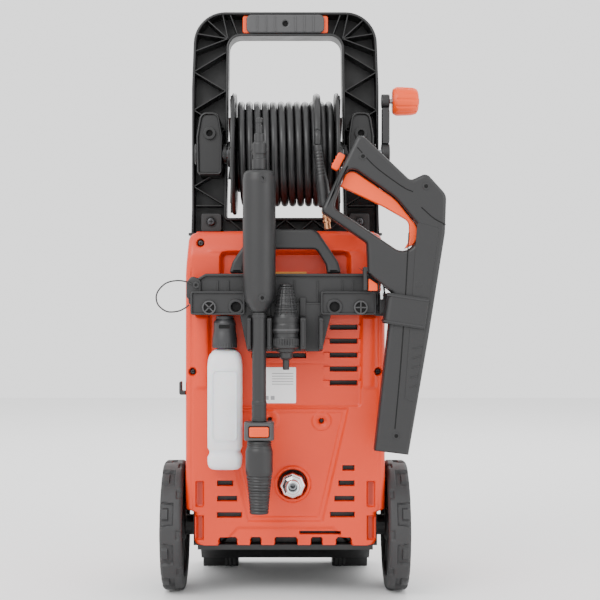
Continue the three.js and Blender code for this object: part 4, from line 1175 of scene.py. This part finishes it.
def make_bottle_cap():
    outline = softened([(0, 377), (18, 377), (18.6, 378.5), (18.4, 390), (17.6, 396), (16.4, 402),
                        (16.2, 414),
                        (14.4, 418), (13, 419.5), (13, 424.5), (0, 425.5)], 1.0)

    def knurled(radius, place, angle):
        if 379 < place < 384:
            return radius - 0.5 * max(0, math.cos(angle * 28))
        return radius

    piece("bottle_cap_moulding", [lathe(refine(outline, 1.5), (-90, -150.5, 0), "z", 160, knurled)],
          CAP, "bottle", ["bottle_cap"], sharp=30, flat=False)
    # The cap's slot is a near-black piece of painted shadow.
    piece("bottle_cap_slot", [slab([rectangle(-98, -82, 406, 411.5, 1.2)], -167.2, -160, 0.3)],
          PAINTED_SHADOW, "bottle")


# ---- Lance and nozzles ----

LANCE = (-38, -190, 0)


def make_lance():
    connector = softened([
        (0, 636.6), (10, 636.6), (10.5, 638), (10.5, 652), (9, 654), (9, 659), (10.5, 661), (10.5, 674.5),
        (9.4, 677),
        (7.5, 677.4), (7.5, 689.6), (5, 690.2), (5, 701), (3.9, 702), (3.9, 705), (5, 706), (5, 712),
        (4, 713),
        (0, 713),
    ], 0.6)
    bars = slab([rectangle(-50.4, -25.6, 664, 668.5, 1)], -192.3, -187.7, 0.8)
    piece("lance_bayonet", [lathe(connector, LANCE, "z", 56), bars], DARK, "lance",
          ["lance_connector"])
    grip = softened([
        (0, 430.4), (10.6, 430.4), (13, 434), (21, 447), (23, 456), (24, 480), (24, 622), (22.6, 632),
        (19, 636),
        (0, 636.2),
    ], 2.0, 4)

    def split(radius, place, angle):
        seam = min(abs(math.remainder(angle, math.pi)), 0.05) / 0.05
        return radius - 0.9 * (1 - smoothstep(0.2, 0.8, seam))

    piece("lance_grip_shell", [lathe(refine(grip, 3.0), LANCE, "z", 256, split)], BLACK,
          "lance",
          ["lance_grip"], flat=False, sharp=60)
    for i, (z, x) in enumerate(((623, -33), (451, -33))):
        make_grip_boss(f"lance_grip_boss_{i + 1}", x, z)
    tube_line = softened([(0, 271.4), (10.7, 271.4), (10.7, 300), (10.2, 302), (10.2, 429.7), (0, 429.7)],
                         0.5)
    rings = [lathe(softened([(9, z), (11, z), (11, z + 5), (9, z + 5), (9, z)], 0.6), LANCE, "z", 56)
             for z in (271.6, 295, 422)]
    piece("lance_pipe", [lathe(tube_line, LANCE, "z", 56), *rings], BLACK, "lance",
          ["lance_tube"])
    make_lance_collar()
    make_vario_nozzle()


def make_grip_boss(name, x, z):
    ring = lathe(softened([(2.6, -212), (5.4, -212), (5.4, -214.2), (2.6, -214.2), (2.6, -212)], 0.4),
                 (x, 0, z), "y", 32)
    piece(name, [ring], BLACK, "lance")
    # The boss hole is a near-black disc of painted shadow.
    piece(name + "_hole", [slab([circle(x, z, 2.7, 20)], -213.2, -211, 0.2)], PAINTED_SHADOW, "lance")


def make_lance_collar():
    low = rectangle(-59.8, -16.2, -207, -171, 9)
    pocket = rectangle(-53, -23, 249.2, 265.8, 2.5)
    recess = slab([pocket], -216, -200.3, 0.3)
    body = opened([slab([low], 244.2, 271, 2.2, "xy", 4)], [recess], "collar")
    front = slab([rectangle(-56, -20, 245.4, 269.6, 3), pocket], -209.6, -205, 1.2)
    piece("lance_collar_block", [body, front], GREY, "lance", ["lance_collar"])
    button = slab([rectangle(-52.2, -23.8, 250.2, 264.8, 2.6)], -211.4, -203.4, 2.0, steps=4)
    ridges = [slab([rectangle(-48, -28, z, z + 1.3, 0.6)], -212, -210.8, 0.4) for z in (254, 257, 260)]
    piece("lance_release_button", [button, *ridges], BRIGHT, "lance_button",
          ["lance_button"])


def make_vario_nozzle():
    outline = softened([
        (4.6, 139), (12.4, 137), (13.7, 138), (16.4, 170), (19.4, 196), (19.9, 199), (19.9, 228), (19.2, 231),
        (18.2, 233), (18, 242.8), (17, 243.7), (0, 243.7), (0, 146), (4.6, 144), (4.6, 139),
    ], 0.9)

    def ribbed(radius, place, angle):
        if radius > 11 and 141 < place < 195:
            return radius - 1.0 * smoothstep(0.45, 0.7, place / 4.2 % 1)
        if radius > 15 and 234 < place < 243:
            return radius - 0.8 * smoothstep(0.4, 0.7, place / 3 % 1)
        return radius

    piece("vario_nozzle_shell", [lathe(refine(outline, 1.6), LANCE, "z", 196, ribbed)], DARK,
          "vario_nozzle", ["vario_nozzle"], sharp=30, flat=False)
    insert = lathe(softened([(0, 143), (4.4, 143), (4.4, 140.5), (1.6, 140.5), (1.2, 142.4), (0, 142.4)],
                            0.2),
                   LANCE, "z", 32)
    piece("vario_nozzle_insert", [insert], BRASS, "vario_nozzle")


def make_rotary_nozzle():
    centre = (1, -185, 0)
    outline = softened([
        (1.4, 347), (4.2, 346), (4.8, 347), (4.8, 360), (10, 364), (10, 371.4), (13.6, 372.4), (14, 375),
        (14, 377),
        (18.6, 378), (19.2, 379.5), (19.2, 393), (18, 394), (18, 399), (19.2, 400), (19.2, 412), (18.2, 414),
        (19, 416), (19, 423), (17.8, 425), (16.6, 436), (14.8, 448), (12.2, 460), (10, 467), (9.2, 470.4),
        (8, 471), (3, 471), (3, 460), (0, 460), (0, 352), (1.4, 352), (1.4, 347),
    ], 0.9)

    def knurled(radius, place, angle):
        if radius > 17 and 382 < place < 392:
            return radius - 0.9 * max(0, math.cos(angle * 30))
        if radius > 9.5 and 426 < place < 468:
            return radius - 1.1 * smoothstep(0.35, 0.6,
                                             place / 5 % 1) - 0.8 * max(0, math.cos(angle * 12)) ** 3
        return radius

    body = lathe(refine(outline, 1.2), centre, "z", 240, knurled)
    piece("rotary_nozzle_shell", [body], DARK, "rotary_nozzle", ["rotary_nozzle"], sharp=30,
          flat=False)
    ring = lathe(softened([(13, 403), (19.6, 403), (19.6, 406), (13, 406), (13, 403)], 0.3), centre, "z", 72)
    piece("rotary_nozzle_band", [ring], GREY, "rotary_nozzle")


# ---- Spray gun ----

GUN = [(107, 691, 8), (181, 621, 8), (196, 628, 6), (204, 632, 10), (233, 600, 18), (231, 545), (207, 394),
       (178, 224), (129, 230), (155, 458, 6), (120, 487), (118, 531, 6), (51, 577, 8)]
GUN_OPENING = [(70, 582, 8), (173, 513, 20), (201, 546, 26), (160, 596, 60), (90, 645, 14)]
TRIGGER = [(173, 522), (180, 534, 12), (180, 562, 12), (144, 583, 60), (80, 613), (91, 641, 12),
           (160, 594, 60),
           (198, 546, 24), (186, 528, 6)]
PIVOT = Vector((183, 540))


def turned_about(outline, centre, degrees):
    a = math.radians(degrees)
    out = []
    for x, z in outline:
        dx, dz = x - centre[0], z - centre[1]
        out.append((centre[0] + dx * math.cos(a) + dz * math.sin(a),
                    centre[1] - dx * math.sin(a) + dz * math.cos(a)))
    return out


def opened(parts, cutters, name):
    """Solids with other solids cut out of them."""
    def held(label, chosen):
        mesh = bpy.data.meshes.new(label)
        points, faces = [], []
        for part_points, part_faces in chosen:
            first = len(points)
            points += [tuple(p) for p in part_points]
            faces += [tuple(first + i for i in face) for face in part_faces]
        mesh.from_pydata(points, [], faces)
        work = bmesh.new()
        work.from_mesh(mesh)
        bmesh.ops.remove_doubles(work, verts=work.verts, dist=1e-3)
        bmesh.ops.recalc_face_normals(work, faces=work.faces)
        work.to_mesh(mesh)
        work.free()
        holder = bpy.data.objects.new(label, mesh)
        bpy.context.scene.collection.objects.link(holder)
        return holder

    target = held(name + "_solid", parts)
    for i, cutter in enumerate(cutters):
        tool = held(f"{name}_cutter_{i}", [cutter])
        cut = target.modifiers.new("cut", "BOOLEAN")
        cut.operation, cut.solver, cut.object = "DIFFERENCE", "EXACT", tool
        bpy.context.view_layer.update()
        done = bpy.data.meshes.new_from_object(target.evaluated_get(bpy.context.evaluated_depsgraph_get()))
        target.modifiers.clear()
        target.data = done
        bpy.data.objects.remove(tool)
    result = [v.co.copy() for v in target.data.vertices], [tuple(f.vertices) for f in target.data.polygons]
    bpy.data.objects.remove(target)
    return result


def make_gun():
    """The gun's halves, with the trigger's and the lock's travel cut out of them."""
    outline = rounded(GUN, 10)
    body = slab([outline, rounded(GUN_OPENING, 10)], -208, -172, 6, steps=5)
    trigger_outline = rounded(TRIGGER, 8)
    cutters = [slab([grown(turned_about(trigger_outline, PIVOT, turn), 1.0)], -198.6, -181.4, 0.3)
               for turn in (0, 2, 4, 6)]
    cutters.append(leaning(slab([rectangle(77 - 12.5, 77 + 10, 649 - 14.4, 649 + 14.4, 2)], -197.8, -182.2,
                                0.3),
                           27.6, 77, 649))
    cutters.append(slab([rounded([(117, 457), (134.8, 457), (134.8, 475), (121, 481)])], -198.6, -181.4, 0.3))
    cutters.append(slab([grown(outline, 3), grown(outline, -0.7)], -190.5, -189.5, 0.1))
    shell = opened([body], cutters, "gun")
    piece("gun_shell", [shell], BLACK, "gun", ["gun_body"], sharp=32)
    make_gun_details()


def make_gun_details():
    grooves = [
        [(104, 668), (130, 640), (168, 612), (184, 604)],
        [(196.5, 581.5), (214, 566), (231.4, 556.5)],
        [(178, 545), (173, 450), (166, 350), (158, 262)],
    ]
    lines = []
    for route in grooves:
        points = smooth_line([(x, -208.05, z) for x, z in route], 6)
        lines.append(tube(points, 0.8, 8))
    # The grooves are drawn as near-black lines of painted shadow.
    piece("gun_panel_lines", lines, PAINTED_SHADOW, "gun")
    panel = rounded([(190, 560, 4), (222, 552, 4), (203, 420), (186, 300, 3), (172, 306, 3), (182, 440)], 6)
    piece("gun_grip_panel", [slab([panel], -208.7, -206, 0.6)], BLACK, "gun")
    ridges = []
    for k in range(5):
        z = 322 + 14 * k
        left, right = 176 + 0.083 * (z - 306), 190 + 0.125 * (z - 306)
        ridges.append(rib((left + 2, z), (right - 1, z + 3), -209.5, -208.4, 1.6))
    piece("gun_grip_ridges", ridges, BLACK, "gun")
    holes = [(203, 612), (193, 470), (160, 252), (112, 655)]
    rings = [lathe(softened([(2.8, -207), (5.2, -207), (5.2, -208.9), (2.8, -208.9), (2.8, -207)], 0.4),
                   (x, 0, z), "y", 28) for x, z in holes]
    piece("gun_screw_rims", rings, BLACK, "gun")
    # The screw holes are near-black discs of painted shadow.
    piece("gun_screw_holes", [slab([circle(x, z, 2.9, 20)], -208.5, -206.5, 0.2) for x, z in holes],
          PAINTED_SHADOW, "gun")
    lug = [slab([rectangle(113, 118.5, 462, 496, 1.5)], -199.4, -180.6, 1.0),
           slab([rectangle(117, 124, 489, 496, 1.5)], -199.4, -180.6, 1.0)]
    piece("gun_hose_lug", lug, BLACK, "gun")


def make_gun_controls():
    trigger = slab([rounded(TRIGGER, 10)], -197.6, -182.4, 2.2, steps=4)
    piece("gun_trigger_lever", [trigger], BRIGHT, "gun_trigger", ["gun_trigger"])
    lock = leaning(slab([rectangle(71.2, 82.8, 636.2, 661.8, 3)], -196.8, -183.2, 1.8, steps=3), 27.6, 77,
                   649)
    nubs = [leaning(slab([rectangle(70, 72.2, z, z + 1.6, 0.6)], -194.5, -185.5, 0.5), 27.6, 77, 649)
            for z in (642, 647.4, 652.8)]
    piece("gun_lock_block", [lock, *nubs], BRIGHT, "gun_lock", ["gun_lock"])
    release = rounded([(120.5, 461.2, 1.5), (133.8, 461.2, 1), (133.8, 471, 1), (120.5, 480, 1.5)], 4)
    piece("gun_release_tab", [slab([release], -197.8, -182.2, 1.2)], BRIGHT,
          "gun_release",
          ["gun_release"])
    nipple = softened([(0, 449), (3.2, 449), (3.6, 450), (3.6, 455), (4.2, 455.6), (4.2, 475.2),
                       (0, 475.5)], 0.3)
    rings = [lathe(softened([(3, z), (4.9, z), (4.9, z + 2), (3, z + 2), (3, z)], 0.3), (141, -190, 0), "z",
                   32)
             for z in (458, 466)]
    piece("gun_hose_nipple", [lathe(nipple, (141, -190, 0), "z", 32), *rings], CHROME, "gun",
          ["gun_nipple"])


# ---- Connections and the parts inside ----

def make_inlet():
    def octagon(radius, place, angle):
        wanted = math.cos(math.pi / 8) / math.cos(math.remainder(angle - math.pi / 8, math.pi / 4))
        return radius * wanted if radius > 11.2 else radius

    outline = softened([
        (6.6, -124), (18.5, -124), (19.2, -127), (19.2, -145), (17.6, -147), (15.5, -148), (15.5, -153),
        (12, -154),
        (10.4, -155), (10.4, -157), (11.1, -158), (11.1, -160), (10.4, -161), (10.4, -164), (8.6, -165),
        (6.6, -165), (6.6, -124),
    ], 0.8)
    shell = lathe(refine(outline, 2.5), (INLET_X, 0, INLET_Z), "y", 96, octagon)
    piece("water_inlet_coupling", [shell], CHROME, replaces=["water_inlet"], sharp=22)
    core = lathe(softened([(0, -126), (6.2, -126), (6.2, -150), (3.6, -150), (3.6, -128), (0, -128)], 0.4),
                 (INLET_X, 0, INLET_Z), "y", 40)
    piece("water_inlet_filter", [core], STEEL)


def make_outlet():
    centre = (0, 0, 165)
    body = softened([(4.1, 150), (11.5, 150), (12, 151.5), (12, 158), (8, 158.6), (8, 160), (7.2, 161),
                     (8, 162),
                     (8, 166.6), (7, 168), (4.1, 168), (4.1, 150)], 0.5)
    piece("pressure_outlet_end", [lathe(body, centre, "y", 56)], BRASS, replaces=["pressure_outlet"])
    gland = softened([(0, 145.4), (12.6, 145.4), (13, 147), (13, 152), (11, 153), (8.6, 153.4), (8, 160),
                      (7.4, 167.4),
                      (4.4, 168), (4.4, 158), (0, 158)], 0.6)
    piece("cable_gland_sleeve", [lathe(gland, (92, 0, 165), "y", 48)], BLACK,
          replaces=["cable_gland"])


def carry_inside():
    """The CAD pieces that stay as they are, each with its own finish."""
    for node, finish in (("wheel_axle", STEEL), ("pump_head", ALUMINIUM), ("motor_stator", STEEL),
                         ("motor_rotor", STEEL), ("cooling_fan", BLACK), ("capacitor", WHITE)):
        carried(node, finish)


# ---- The scene ----

make_camera()
make_lights()
studio_floor()
make_cords()
make_rear_cover()
make_front_cover()
make_front_controls()
make_base()
make_labels()
make_wheel(-1, "left")
make_wheel(1, "right")
make_handle()
make_brackets()
make_reel()
make_holder()
make_arch()
make_ring_bracket()
make_cord_hook()
make_bottle()
make_lance()
make_rotary_nozzle()
make_gun()
make_gun_controls()
make_inlet()
make_outlet()
carry_inside()
